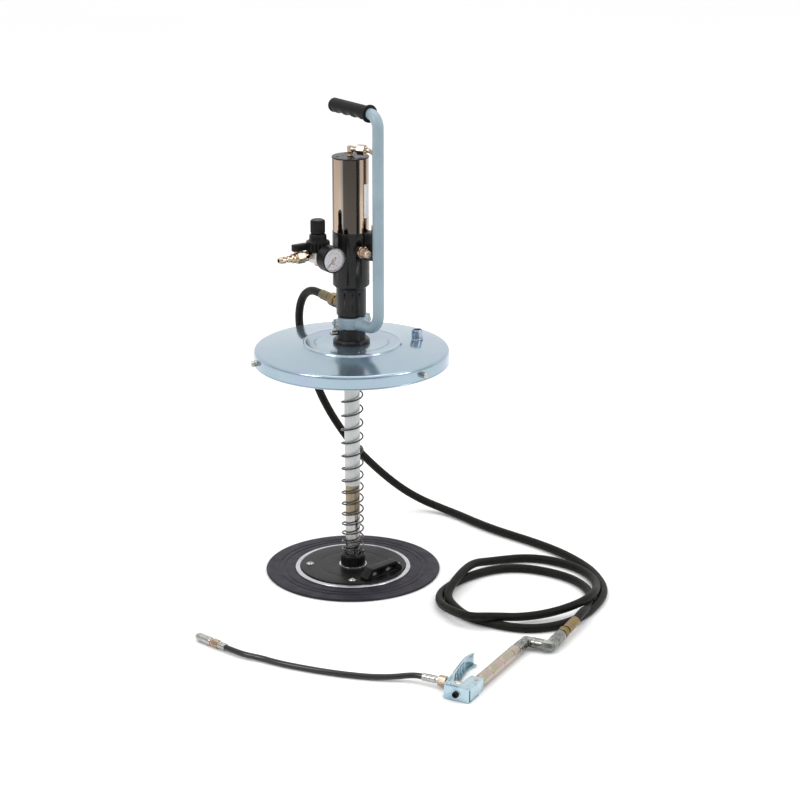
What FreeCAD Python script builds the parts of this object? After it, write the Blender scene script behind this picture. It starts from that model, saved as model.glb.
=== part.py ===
# Air-operated grease pump kit for a 25 kg pail.
# Air motor on a suction tube, pail lid, spring-loaded follower plate, air inlet
# with regulator and ball valve, carry handle, grease hose and lever control gun.
# Frame: +Z up, origin on the pump's axis where its foot stands on the floor.
import FreeCAD
import Part
import Sketcher
import math
import os
from FreeCAD import Placement, Rotation, Vector

doc = FreeCAD.newDocument("grease_pump")
sheet = doc.addObject("Spreadsheet::Sheet", "dims")
nodes = []
sheet_names = []


class Size:
    """A length with its value and the expression that binds it to the sheet."""

    def __init__(self, value, text):
        self.value = float(value)
        self.text = text

    def __add__(self, other):
        other = as_size(other)
        return Size(self.value + other.value, "(%s + %s)" % (self.text, other.text))

    def __sub__(self, other):
        other = as_size(other)
        return Size(self.value - other.value, "(%s - %s)" % (self.text, other.text))

    def __mul__(self, factor):
        factor = as_size(factor)
        return Size(self.value * factor.value, "(%s * %s)" % (self.text, factor.text))

    def __truediv__(self, factor):
        factor = as_size(factor)
        return Size(self.value / factor.value, "(%s / %s)" % (self.text, factor.text))

    def __radd__(self, other):
        return as_size(other) + self

    def __rsub__(self, other):
        return as_size(other) - self

    def __neg__(self):
        return as_size(0) - self

    def __float__(self):
        return self.value


def as_size(value):
    return value if isinstance(value, Size) else Size(value, "%.6g" % value)


def dim(name, value):
    """Put one driving dimension (mm or degrees) in the sheet under its own name."""
    row = len(sheet_names) + 1
    sheet.set("A%d" % row, name)
    sheet.set("B%d" % row, "%g" % value)
    sheet.setAlias("B%d" % row, name)
    sheet_names.append(name)
    return Size(value, "dims." + name)


# --- clearances -------------------------------------------------------------
run_gap = dim("run_gap", 0.05)            # radial clearance of running fits
slide_gap = dim("slide_gap", 0.4)         # loose slide of the follower on its tube
seat_gap = dim("seat_gap", 0.05)          # spigots and threads in their sockets
free_gap = dim("free_gap", 0.35)          # between parts that pass each other

# --- pump tube --------------------------------------------------------------
foot_length = dim("foot_length", 108.6)
foot_radius = dim("foot_radius", 13.3)
barrel_length = dim("barrel_length", 56.4)
barrel_radius = dim("barrel_radius", 13.0)
barrel_spigot = dim("barrel_spigot", 8.0)       # length of its spigot in the suction tube
pump_bore = dim("pump_bore", 10.0)
suction_radius = dim("suction_radius", 14.0)
suction_wall = dim("suction_wall", 2.5)
suction_length = dim("suction_length", 319.3)   # barrel to outlet body
rod_radius = dim("rod_radius", 5.0)
plunger_low = dim("plunger_low", 60.0)
ball_radius = dim("ball_radius", 6.5)
small_ball = dim("small_ball", 4.0)
foot_seat = dim("foot_seat", 5.0)
plunger_seat = dim("plunger_seat", 2.8)

# --- bodies above the lid ---------------------------------------------------
outlet_radius = dim("outlet_radius", 26.5)
outlet_height = dim("outlet_height", 52.3)
neck_radius = dim("neck_radius", 21.5)
neck_height = dim("neck_height", 22.0)
base_radius = dim("base_radius", 32.6)
base_height = dim("base_height", 102.4)
motor_radius = dim("motor_radius", 32.1)
motor_wall = dim("motor_wall", 3.1)
motor_height = dim("motor_height", 130.0)
spigot_depth = dim("spigot_depth", 10.0)
cap_radius = dim("cap_radius", 32.8)
cap_height = dim("cap_height", 2.6)
piston_height = dim("piston_height", 14.0)
gland_radius = dim("gland_radius", 12.0)
gland_depth = dim("gland_depth", 10.0)        # into each of the two bodies
chamber_radius = dim("chamber_radius", 10.0)
rod_play = dim("rod_play", 1.0)              # the rod in the open bore of the base

# --- valve block and transfer pipe ------------------------------------------
valve_side = dim("valve_side", 12.0)
valve_reach = dim("valve_reach", 52.0)
valve_height = dim("valve_height", 50.0)
spool_place = dim("spool_place", 40.0)
spool_radius = dim("spool_radius", 4.0)
spool_length = dim("spool_length", 22.0)
transfer_radius = dim("transfer_radius", 4.0)
transfer_reach = dim("transfer_reach", 48.0)
transfer_rise = dim("transfer_rise", 15.0)
transfer_bend = dim("transfer_bend", 14.0)
silencer_hex = dim("silencer_hex", 20.0)
silencer_start = dim("silencer_start", 36.0)
silencer_nut = dim("silencer_nut", 14.0)
silencer_length = dim("silencer_length", 20.0)
silencer_radius = dim("silencer_radius", 7.0)

# --- collar and lid ---------------------------------------------------------
collar_radius = dim("collar_radius", 25.4)
collar_height = dim("collar_height", 19.1)
flange_radius = dim("flange_radius", 32.8)
flange_height = dim("flange_height", 8.0)
lid_radius = dim("lid_radius", 175.0)
lid_skirt = dim("lid_skirt", 24.8)
lid_rise = dim("lid_rise", 11.8)
lid_wall = dim("lid_wall", 1.5)
lid_disc = dim("lid_disc", 84.0)
socket_radius = dim("socket_radius", 10.0)
socket_bore = dim("socket_bore", 7.0)
socket_height = dim("socket_height", 24.0)
socket_place = dim("socket_place", 122.3)
collar_shank = dim("collar_shank", 3.0)
rim_pin = dim("rim_pin", 2.5)
rim_head = dim("rim_head", 5.5)

# --- follower ---------------------------------------------------------------
follower_radius = dim("follower_radius", 159.3)
follower_lip_height = dim("follower_lip_height", 4.0)
plate_radius = dim("plate_radius", 96.2)
plate_height = dim("plate_height", 5.0)
ring_width = dim("ring_width", 9.2)
ring_height = dim("ring_height", 3.2)
hub_radius = dim("hub_radius", 22.5)
hub_height = dim("hub_height", 22.0)
screw_circle = dim("screw_circle", 79.0)
screw_head = dim("screw_head", 7.0)
grip_place = dim("grip_place", 70.0)
grip_length = dim("grip_length", 90.0)
grip_shift = dim("grip_shift", 4.0)          # along the grip, off the middle of the plate
grip_width = dim("grip_width", 18.0)
grip_height = dim("grip_height", 18.0)
spring_radius = dim("spring_radius", 19.2)
spring_wire = dim("spring_wire", 1.5)
spring_turns = dim("spring_turns", 16.0)

# --- carry handle -----------------------------------------------------------
handle_radius = dim("handle_radius", 10.0)
handle_wall = dim("handle_wall", 1.5)
handle_reach = dim("handle_reach", 81.0)
handle_rise = dim("handle_rise", 85.0)         # above the motor's barrel
handle_bend = dim("handle_bend", 30.0)
handle_top_bend = dim("handle_top_bend", 22.0)
handle_inner_end = dim("handle_inner_end", 46.0)
grip_sleeve = dim("grip_sleeve", 12.6)
saddle_thick = dim("saddle_thick", 7.0)
strap_thick = dim("strap_thick", 3.0)
ear_reach = dim("ear_reach", 37.0)
bolt_place = dim("bolt_place", 32.5)
bolt_radius = dim("bolt_radius", 2.5)
split_gap = dim("split_gap", 0.6)            # from the handle's plane to each clamp half

# --- air line ---------------------------------------------------------------
port_radius = dim("port_radius", 6.0)
inlet_drop = dim("inlet_drop", 33.5)          # below the motor barrel
exhaust_drop = dim("exhaust_drop", 29.4)
regulator_place = dim("regulator_place", 69.0)
regulator_half = dim("regulator_half", 15.0)
knob_radius = dim("knob_radius", 13.0)
gauge_radius = dim("gauge_radius", 23.0)
gauge_reach = dim("gauge_reach", 53.0)
gauge_depth = dim("gauge_depth", 25.0)
valve_place = dim("valve_place", 106.8)
valve_ball_radius = dim("valve_ball_radius", 7.0)
valve_stem = dim("valve_stem", 3.0)
valve_passage = dim("valve_passage", 4.0)
bonnet_radius = dim("bonnet_radius", 21.0)

# --- hose and gun -----------------------------------------------------------
hose_radius = dim("hose_radius", 7.5)
hose_fitting = dim("hose_fitting", 104.0)
port_rise = dim("port_rise", 13.7)           # outlet above the neck
coil_length = dim("coil_length", 180.0)
coil_width = dim("coil_width", 160.0)
coil_inner_length = dim("coil_inner_length", 100.0)
coil_inner_width = dim("coil_inner_width", 98.0)
elbow_radius = dim("elbow_radius", 9.0)
elbow_bend = dim("elbow_bend", 10.0)
elbow_step = dim("elbow_step", 44.0)         # between the two elbows
gun_axis = dim("gun_axis", 12.0)
tube_radius = dim("tube_radius", 10.5)
tube_end = dim("tube_end", 186.0)
head_end = dim("head_end", 240.0)
head_left = dim("head_left", 14.0)
head_right = dim("head_right", 10.0)
head_inset = dim("head_inset", 1.6)
sheet_wall = dim("sheet_wall", 1.5)
pivot_place = dim("pivot_place", 232.0)
pivot_side = dim("pivot_side", 30.0)
pivot_radius = dim("pivot_radius", 2.5)
gun_plunger_place = dim("gun_plunger_place", 221.0)
gun_plunger_radius = dim("gun_plunger_radius", 3.5)
gun_port_place = dim("gun_port_place", 207.0)
short_radius = dim("short_radius", 5.0)
coupler_radius = dim("coupler_radius", 7.5)
coupler_length = dim("coupler_length", 72.0)

# directions about the pump's axis, degrees from +X
HANDLE = -53.0
TRANSFER = -24.5
EXHAUST = -63.0
INLET = 215.0
GAUGE = -55.0
OUTLET = 121.5
SCREW = 195.0
SOCKET = 16.9
GUN = 62.1

# levels along the pump's axis
foot_top = foot_length
barrel_top = foot_top + barrel_length
outlet_z = barrel_top + suction_length
base_z = outlet_z + outlet_height
motor_z = base_z + base_height
cap_z = motor_z + motor_height
collar_top = outlet_z - neck_height
flange_top = collar_top - collar_height
lid_top = flange_top - flange_height
lid_rim = lid_top - lid_rise
lid_edge = lid_rim - lid_skirt
lip_top = follower_lip_height
plate_top = lip_top + plate_height
hub_top = plate_top + hub_height
piston_z = motor_z + spigot_depth + 3
inlet_height = motor_z - inlet_drop
exhaust_height = motor_z - exhaust_drop
handle_top = cap_z + handle_rise
outlet_port = outlet_z + port_rise
valve_top = motor_z + 1
doc.recompute()


# --- frames -----------------------------------------------------------------
def along(azimuth):
    angle = math.radians(azimuth)
    return Vector(math.cos(angle), math.sin(angle), 0)


def outward(azimuth, height, start=Vector(0, 0, 0)):
    """A frame whose Z runs outward at an azimuth and whose X points up."""
    out = along(azimuth)
    up = Vector(0, 0, 1)
    return Placement(start + up * float(height), Rotation(up, out.cross(up), out, "ZXY"))


def upright(x=0, y=0, z=0, turn=0):
    return Placement(Vector(float(x), float(y), float(z)), Rotation(Vector(0, 0, 1), turn))


def gun_frame(s=0, w=0, height=0, toward="up"):
    """A frame in the gun's own plan: s along the gun, w to its left."""
    turn = {"up": Rotation(), "s": Rotation(Vector(0, 0, 1), Vector(1, 0, 0)),
            "w": Rotation(Vector(0, 0, 1), Vector(0, 1, 0))}[toward]
    local = Placement(Vector(float(s), float(w), float(height)), turn)
    return GUN_BASE.multiply(local)


GUN_BASE = Placement(Vector(300, -355, 0), Rotation(Vector(0, 0, 1), GUN))


# --- makers -----------------------------------------------------------------
def node(label, thing):
    thing.Label = label
    nodes.append(thing)
    return thing


def bind(thing, name, value):
    value = as_size(value)
    thing.setExpression(name, value.text)


def origin_plane(body, role):
    for plane in body.Origin.OriginFeatures:
        if plane.Role == role:
            return plane
    raise RuntimeError("no plane " + role)


def sketch_on(body, role, name, height=None):
    sketch = body.newObject("Sketcher::SketchObject", name)
    sketch.AttachmentSupport = (origin_plane(body, role), [""])
    sketch.MapMode = "FlatFace"
    if height is not None:
        bind(sketch, "AttachmentOffset.Base.z", height)
    return sketch


def draw_outline(sketch, outline):
    """Draw a closed polygon whose corners are held at distances from the origin."""
    points = [(as_size(x), as_size(y)) for x, y in outline]
    corners = [Vector(x.value, y.value, 0) for x, y in points]
    count = len(points)
    for i in range(count):
        sketch.addGeometry(Part.LineSegment(corners[i], corners[(i + 1) % count]), False)
    for i in range(count):
        sketch.addConstraint(Sketcher.Constraint("Coincident", i, 2, (i + 1) % count, 1))
    for i, (x, y) in enumerate(points):
        for kind, value, axis in (("DistanceX", x, -2), ("DistanceY", y, -1)):
            if abs(value.value) < 1e-9:
                sketch.addConstraint(Sketcher.Constraint("PointOnObject", i, 1, axis))
            else:
                index = sketch.addConstraint(
                    Sketcher.Constraint(kind, -1, 1, i, 1, value.value))
                bind(sketch, "Constraints[%d]" % index, value)


def turned(label, outline, frame=None):
    """A body of revolution about its own Z from an outline of (radius, height)."""
    body = doc.addObject("PartDesign::Body", label)
    sketch = sketch_on(body, "XZ_Plane", label + "_outline")
    draw_outline(sketch, outline)
    turning = body.newObject("PartDesign::Revolution", label + "_turned")
    turning.Profile = sketch
    turning.ReferenceAxis = (sketch, ["V_Axis"])
    turning.Angle = 360
    if frame is not None:
        body.Placement = frame
    return body


def add_prism(body, outline, low, high):
    """Add a straight prism to a body, between two heights."""
    name = "%s_prism%d" % (body.Name, len(body.Group))
    sketch = sketch_on(body, "XY_Plane", name + "_outline", low)
    draw_outline(sketch, outline)
    pad = body.newObject("PartDesign::Pad", name)
    pad.Profile = sketch
    bind(pad, "Length", as_size(high) - low)
    body.Tip = pad
    return body


def add_hex(body, across, low, high):
    corner = as_size(across) / math.sqrt(3)
    outline = [(corner * math.cos(math.radians(60 * i)), corner * math.sin(math.radians(60 * i)))
               for i in range(6)]
    return add_prism(body, outline, low, high)


def prism(label, outline, low, high, frame=None):
    body = doc.addObject("PartDesign::Body", label)
    add_prism(body, outline, low, high)
    if frame is not None:
        body.Placement = frame
    return body


def block(label, x, y, z, frame=None):
    """A rectangular body between pairs of bounds along each axis."""
    outline = [(x[0], y[0]), (x[1], y[0]), (x[1], y[1]), (x[0], y[1])]
    return prism(label, outline, z[0], z[1], frame)


def cylinder(label, radius, length, frame=None):
    thing = doc.addObject("Part::Cylinder", label)
    bind(thing, "Radius", radius)
    bind(thing, "Height", length)
    if frame is not None:
        thing.Placement = frame
    return thing


def sphere(label, radius, frame):
    thing = doc.addObject("Part::Sphere", label)
    bind(thing, "Radius", radius)
    thing.Placement = frame
    return thing


def cut(label, base, tools):
    tool = tools[0] if len(tools) == 1 else fuse(label + "_tools", tools)
    thing = doc.addObject("Part::Cut", label)
    thing.Base = base
    thing.Tool = tool
    return thing


def fuse(label, things):
    thing = doc.addObject("Part::MultiFuse", label)
    thing.Shapes = things
    thing.Refine = True
    return thing


def group(label, things):
    thing = doc.addObject("Part::Compound", label)
    thing.Links = things
    return thing


def shaped(label, shape):
    thing = doc.addObject("Part::Feature", label)
    thing.Shape = shape
    return thing


def ring(inner, outer, low, high):
    return [(inner, low), (outer, low), (outer, high), (inner, high)]


# --- rounded routes for bent tubes and hoses --------------------------------
def rounded_path(points, bends=None, report=None):
    """Straight runs joined by tangent arcs, of given radii or as large as the runs allow."""
    edges = []
    start = points[0]
    smallest = None
    for turn, (before, corner, after) in enumerate(zip(points, points[1:], points[2:])):
        arrive = corner - before
        leave = after - corner
        half_turn = arrive.getAngle(leave) / 2
        largest = 0.45 * min(arrive.Length, leave.Length) / math.tan(half_turn)
        radius = float(bends[turn]) if bends else largest
        smallest = radius if smallest is None else min(smallest, radius)
        setback = radius * math.tan(half_turn)
        arrive.normalize()
        leave.normalize()
        first = corner - arrive * setback
        last = corner + leave * setback
        inward = leave - arrive
        inward.normalize()
        centre = corner + inward * (radius / math.cos(half_turn))
        middle = centre - inward * radius
        edges.append(Part.LineSegment(start, first).toShape())
        edges.append(Part.Arc(first, middle, last).toShape())
        start = last
    edges.append(Part.LineSegment(start, points[-1]).toShape())
    if report:
        print("%s: smallest radius %.1f mm" % (report, smallest))
    return Part.Wire(edges)


def swept(path, radius):
    start = path.Edges[0].Vertexes[0].Point
    direction = path.Edges[0].tangentAt(path.Edges[0].FirstParameter)
    circle = Part.Wire(Part.Circle(start, direction, float(radius)).toShape())
    return path.makePipeShell([circle], True, True)


def cord_tube(label, points, radius):
    path = rounded_path(points, report=label)
    solid = swept(path, radius)
    expected = math.pi * float(radius) ** 2 * path.Length
    print("%s: length %.0f mm, volume %.4f of section x length"
          % (label, path.Length, solid.Volume / expected))
    return node(label, shaped(label, solid))


# --- pump tube and its insides ----------------------------------------------
def pump_tube():
    floor = 4
    seat_low = 18
    seat_top = 24
    foot = turned("foot_turned", [
        (0, 0), (foot_radius - 1, 0), (foot_radius, 1), (foot_radius, foot_top),
        (pump_bore, foot_top), (pump_bore, seat_top), (foot_seat, seat_top),
        (foot_seat, seat_low), (pump_bore, seat_low), (pump_bore, floor), (0, floor)])
    inlets = [cylinder("foot_inlet%d" % i, 4, foot_radius * 2.2,
                       outward(45 + 90 * i, 10.5))
              for i in range(4)]
    node("foot_tube", cut("foot_tube", foot, inlets))

    rest = math.sqrt(float(ball_radius) ** 2 - float(foot_seat) ** 2)
    node("foot_ball", sphere("foot_ball", ball_radius, upright(z=seat_top + rest)))

    spigot = suction_radius - suction_wall - seat_gap
    spigot_top = barrel_top + barrel_spigot
    barrel = turned("barrel_turned", [
        (pump_bore, foot_top), (barrel_radius, foot_top), (barrel_radius, barrel_top),
        (spigot, barrel_top), (spigot, spigot_top), (pump_bore, spigot_top)])
    hole_level = barrel_top - 12.4
    holes = [cylinder("barrel_hole%d" % i, 2, 4,
                      outward(azimuth, hole_level, along(azimuth) * (float(barrel_radius) - 1.5)))
             for i, azimuth in enumerate((-70, 110))]
    node("pump_barrel", cut("pump_barrel", barrel, holes))
    node("suction_tube", turned("suction_tube", ring(
        suction_radius - suction_wall, suction_radius, barrel_top, outlet_z + 4)))


def plunger():
    low = plunger_low
    seat = low + 6
    cage = low + 18
    top = low + 25
    outer = pump_bore - run_gap
    room = small_ball + 0.3
    outline = [(plunger_seat, low), (outer, low), (outer, top), (rod_radius, top),
               (rod_radius, cage), (room, cage), (room, seat), (plunger_seat, seat)]
    cross = cylinder("plunger_cross", 2, outer * 2.2,
                     outward(30, seat + 7, along(210) * float(outer) * 1.1))
    node("pump_plunger", cut("pump_plunger", turned("plunger_turned", outline), [cross]))
    rest = math.sqrt(float(small_ball) ** 2 - float(plunger_seat) ** 2)
    node("plunger_ball", sphere("plunger_ball", small_ball, upright(z=seat + rest)))
    piston_top = piston_z + piston_height
    node("piston_rod", turned("piston_rod", [
        (0, cage), (rod_radius, cage), (rod_radius, piston_top), (8, piston_top),
        (8, piston_top + 6), (0, piston_top + 6)]))


# --- air motor --------------------------------------------------------------
def air_motor():
    inside = motor_radius - motor_wall
    rod_bore = rod_radius + rod_play
    node("motor_cylinder", turned("motor_cylinder", ring(inside, motor_radius, motor_z, cap_z)))
    node("motor_cap", turned("motor_cap", [
        (5, cap_z - spigot_depth), (inside - seat_gap, cap_z - spigot_depth),
        (inside - seat_gap, cap_z), (cap_radius - 0.6, cap_z), (cap_radius, cap_z + 0.6),
        (cap_radius, cap_z + cap_height - 0.6), (cap_radius - 0.6, cap_z + cap_height),
        (5, cap_z + cap_height)]))
    base = turned("base_turned", [
        (gland_radius, base_z), (base_radius - 5, base_z), (base_radius, base_z + 5),
        (base_radius, motor_z), (inside - seat_gap, motor_z),
        (inside - seat_gap, motor_z + spigot_depth), (rod_bore, motor_z + spigot_depth),
        (rod_bore, base_z + gland_depth), (gland_radius, base_z + gland_depth)])
    port_start = 18
    ports = [cylinder("base_port%d" % i, port_radius, base_radius,
                      outward(azimuth, height, along(azimuth) * port_start))
             for i, (azimuth, height) in enumerate(
                 ((INLET, inlet_height), (EXHAUST, exhaust_height)))]
    node("motor_base", cut("motor_base", base, ports))
    groove_low = piston_z + 4
    groove_top = piston_z + 9
    groove = inside - 3
    piston = turned("piston_turned", [
        (rod_radius, piston_z), (inside - 0.1, piston_z), (inside - 0.1, groove_low),
        (groove, groove_low), (groove, groove_top), (inside - 0.1, groove_top),
        (inside - 0.1, piston_z + piston_height), (rod_radius, piston_z + piston_height)])
    seal = turned("seal_turned", ring(groove, inside - run_gap, groove_low, groove_top))
    node("air_piston", group("air_piston", [piston, seal]))
    node("rod_gland", turned("rod_gland", ring(
        rod_radius + run_gap, gland_radius - seat_gap, base_z - gland_depth,
        base_z + gland_depth)))


def outlet_body():
    socket = suction_radius
    shelf = outlet_z + 4
    body = turned("outlet_turned", [
        (socket, collar_top), (neck_radius, collar_top), (neck_radius, outlet_z),
        (outlet_radius - 3, outlet_z), (outlet_radius, outlet_z + 3), (outlet_radius, base_z),
        (gland_radius, base_z), (gland_radius, base_z - gland_depth),
        (chamber_radius, base_z - gland_depth), (chamber_radius, shelf), (socket, shelf)])
    port = cylinder("outlet_port_hole", port_radius, outlet_radius,
                    outward(OUTLET, outlet_port, along(OUTLET) * 5))
    spanner = [cylinder("spanner_hole%d" % i, 2, 6,
                        outward(azimuth, base_z - 12, along(azimuth) * (float(outlet_radius) - 4)))
               for i, azimuth in enumerate((-115, -55, 5, 65, 185))]
    node("outlet_body", cut("outlet_body", body, [port] + spanner))


def valve_and_transfer():
    out = along(TRANSFER)
    face = base_radius - 0.6
    low = valve_top - valve_height
    housing = block("valve_housing", (low, valve_top), (-valve_side, valve_side),
                    (face, valve_reach), outward(TRANSFER, 0))
    hollow = cylinder("valve_hollow", base_radius, valve_height * 2, upright(z=low - 20))
    spot = out * float(spool_place)
    bore = cylinder("spool_bore", spool_radius + run_gap, spool_length + 14,
                    upright(spot.x, spot.y, low - 2))
    node("valve_block", cut("valve_block", housing, [hollow, bore]))
    node("valve_spool", cylinder("valve_spool", spool_radius, spool_length,
                                 upright(spot.x, spot.y, low + 1)))

    pipe = transfer_radius
    level = cap_z + transfer_rise
    elbow_up = turned("elbow_up", [
        (0, cap_z - 6), (5 - seat_gap, cap_z - 6), (5 - seat_gap, cap_z + cap_height),
        (5.4, cap_z + cap_height), (5.4, level + 4), (3.5, level + 5.4), (0, level + 5.4)])
    elbow_out = turned("elbow_out", [(0, 0), (5, 0), (5, 10), (6, 11.5), (6, 15), (0, 15)],
                       outward(TRANSFER, level))
    elbow = fuse("elbow_joined", [elbow_up, elbow_out])
    nut_top = hex_nut("nut_top", 17, pipe, 15, 29, outward(TRANSFER, level))
    reach = out * float(transfer_reach)
    nut_low = hex_nut("nut_low", 15, pipe, valve_top, valve_top + 12, upright(reach.x, reach.y))
    node("cap_fittings", group("cap_fittings", [elbow, nut_top, nut_low]))
    lift = Vector(0, 0, float(level))
    route = [out * 15 + lift, reach + lift, reach + Vector(0, 0, float(valve_top))]
    path = rounded_path(route, [transfer_bend])
    tube = swept(path, pipe).cut(swept(path, pipe - 1))
    node("transfer_tube", shaped("transfer_tube", tube))


def hex_nut(label, across, bore, low, high, frame):
    """A plain hexagon nut bored through, chamfered by a cone-ended blank."""
    across = as_size(across)
    corner = across / math.sqrt(3)
    blank = doc.addObject("Part::Prism", label + "_hex")
    blank.Polygon = 6
    bind(blank, "Circumradius", corner)
    bind(blank, "Height", as_size(high) - low)
    blank.Placement = frame.multiply(upright(z=low))
    edge = turned(label + "_edge", [
        (bore, low), (across / 2, low), (corner, as_size(low) + (corner - across / 2) / 2),
        (corner, as_size(high) - (corner - across / 2) / 2), (across / 2, high), (bore, high)],
        frame)
    thing = doc.addObject("Part::MultiCommon", label)
    thing.Shapes = [blank, edge]
    return thing


def silencer():
    frame = outward(EXHAUST, exhaust_height)
    nose = silencer_start + silencer_nut
    tip = nose + silencer_length
    stem = port_radius - seat_gap
    metal = turned("silencer_metal", ring(0, stem, silencer_start - 10, silencer_start), frame)
    add_hex(metal, silencer_hex, silencer_start, nose)
    bronze = turned("silencer_bronze", [
        (0, nose), (silencer_radius, nose), (silencer_radius, tip - 4),
        (silencer_radius - 2, tip - 0.5), (0, tip)], frame)
    node("silencer", group("silencer", [metal, bronze]))


# --- collar, lid and its fittings -------------------------------------------
def collar_and_lid():
    bore = suction_radius + seat_gap
    throat = suction_radius + 2
    collar = turned("collar_turned", [
        (bore, lid_top - 4), (throat - 0.1, lid_top - 4), (throat - 0.1, lid_top),
        (flange_radius - 1, lid_top), (flange_radius, lid_top + 1),
        (flange_radius, flange_top - 2), (flange_radius - 3, flange_top),
        (collar_radius, flange_top), (collar_radius, collar_top), (bore, collar_top)])
    height = flange_top + 11
    screw = outward(SCREW, height)
    shank = collar_shank
    hole = cylinder("collar_hole", shank + run_gap, 20, outward(SCREW, height, along(SCREW) * 10))
    node("lid_collar", cut("lid_collar", collar, [hole]))
    tip = suction_radius + free_gap
    node("collar_screw", turned("collar_screw", [
        (0, tip), (shank, tip), (shank, collar_radius + 0.6), (5, collar_radius + 0.6),
        (5, collar_radius + 12), (4, collar_radius + 13.5), (0, collar_radius + 13.5)], screw))

    slope_end = lid_radius - 5
    crown = lid_rim + 1.0
    pan = turned("lid_turned", [
        (throat, lid_top), (lid_disc, lid_top), (lid_disc + 3, lid_top + 0.8),
        (lid_disc + 6, lid_top - 2.5), (slope_end, crown), (lid_radius - 1.5, lid_rim - 0.5),
        (lid_radius - 0.5, lid_rim - 4), (lid_radius - 0.5, lid_edge + 3),
        (lid_radius, lid_edge + 2), (lid_radius, lid_edge), (lid_radius - 2.5, lid_edge),
        (lid_radius - lid_wall - 0.5, lid_edge + 3),
        (lid_radius - lid_wall - 0.5, lid_rim - 4),
        (lid_radius - lid_wall - 2.2, lid_rim - 1.2),
        (slope_end, crown - lid_wall), (lid_disc + 6, lid_top - 2.5 - lid_wall),
        (lid_disc + 3, lid_top + 0.8 - lid_wall * 1.4), (lid_disc, lid_top - lid_wall),
        (throat, lid_top - lid_wall)])
    azimuths = (198.0, -44.0, 77.0)
    level = lid_rim - 12.5
    inner = float(lid_radius) - 6
    pin = rim_pin
    holes = [cylinder("rim_hole%d" % i, pin + seat_gap, 12, outward(a, level, along(a) * inner))
             for i, a in enumerate(azimuths)]
    spot = along(SOCKET)
    socket_x = spot.x * float(socket_place)
    socket_y = spot.y * float(socket_place)
    socket_low = lid_rim - 2
    opening = cylinder("socket_opening", socket_radius + seat_gap, 20,
                       upright(socket_x, socket_y, socket_low - 4))
    node("lid", cut("lid", pan, holes + [opening]))
    socket = turned("socket_turned", ring(socket_bore, socket_radius, lid_rim + 1.4,
                                          lid_rim + socket_height),
                    upright(socket_x, socket_y, 0))
    screws = [turned("rim_screw%d" % i, [
        (0, inner - 2), (pin, inner - 2), (pin, inner + 10), (rim_head, inner + 10),
        (rim_head, inner + 15), (rim_head - 1, inner + 16), (0, inner + 16)], outward(a, level))
        for i, a in enumerate(azimuths)]
    node("lid_fittings", group("lid_fittings", [socket] + screws))


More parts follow.
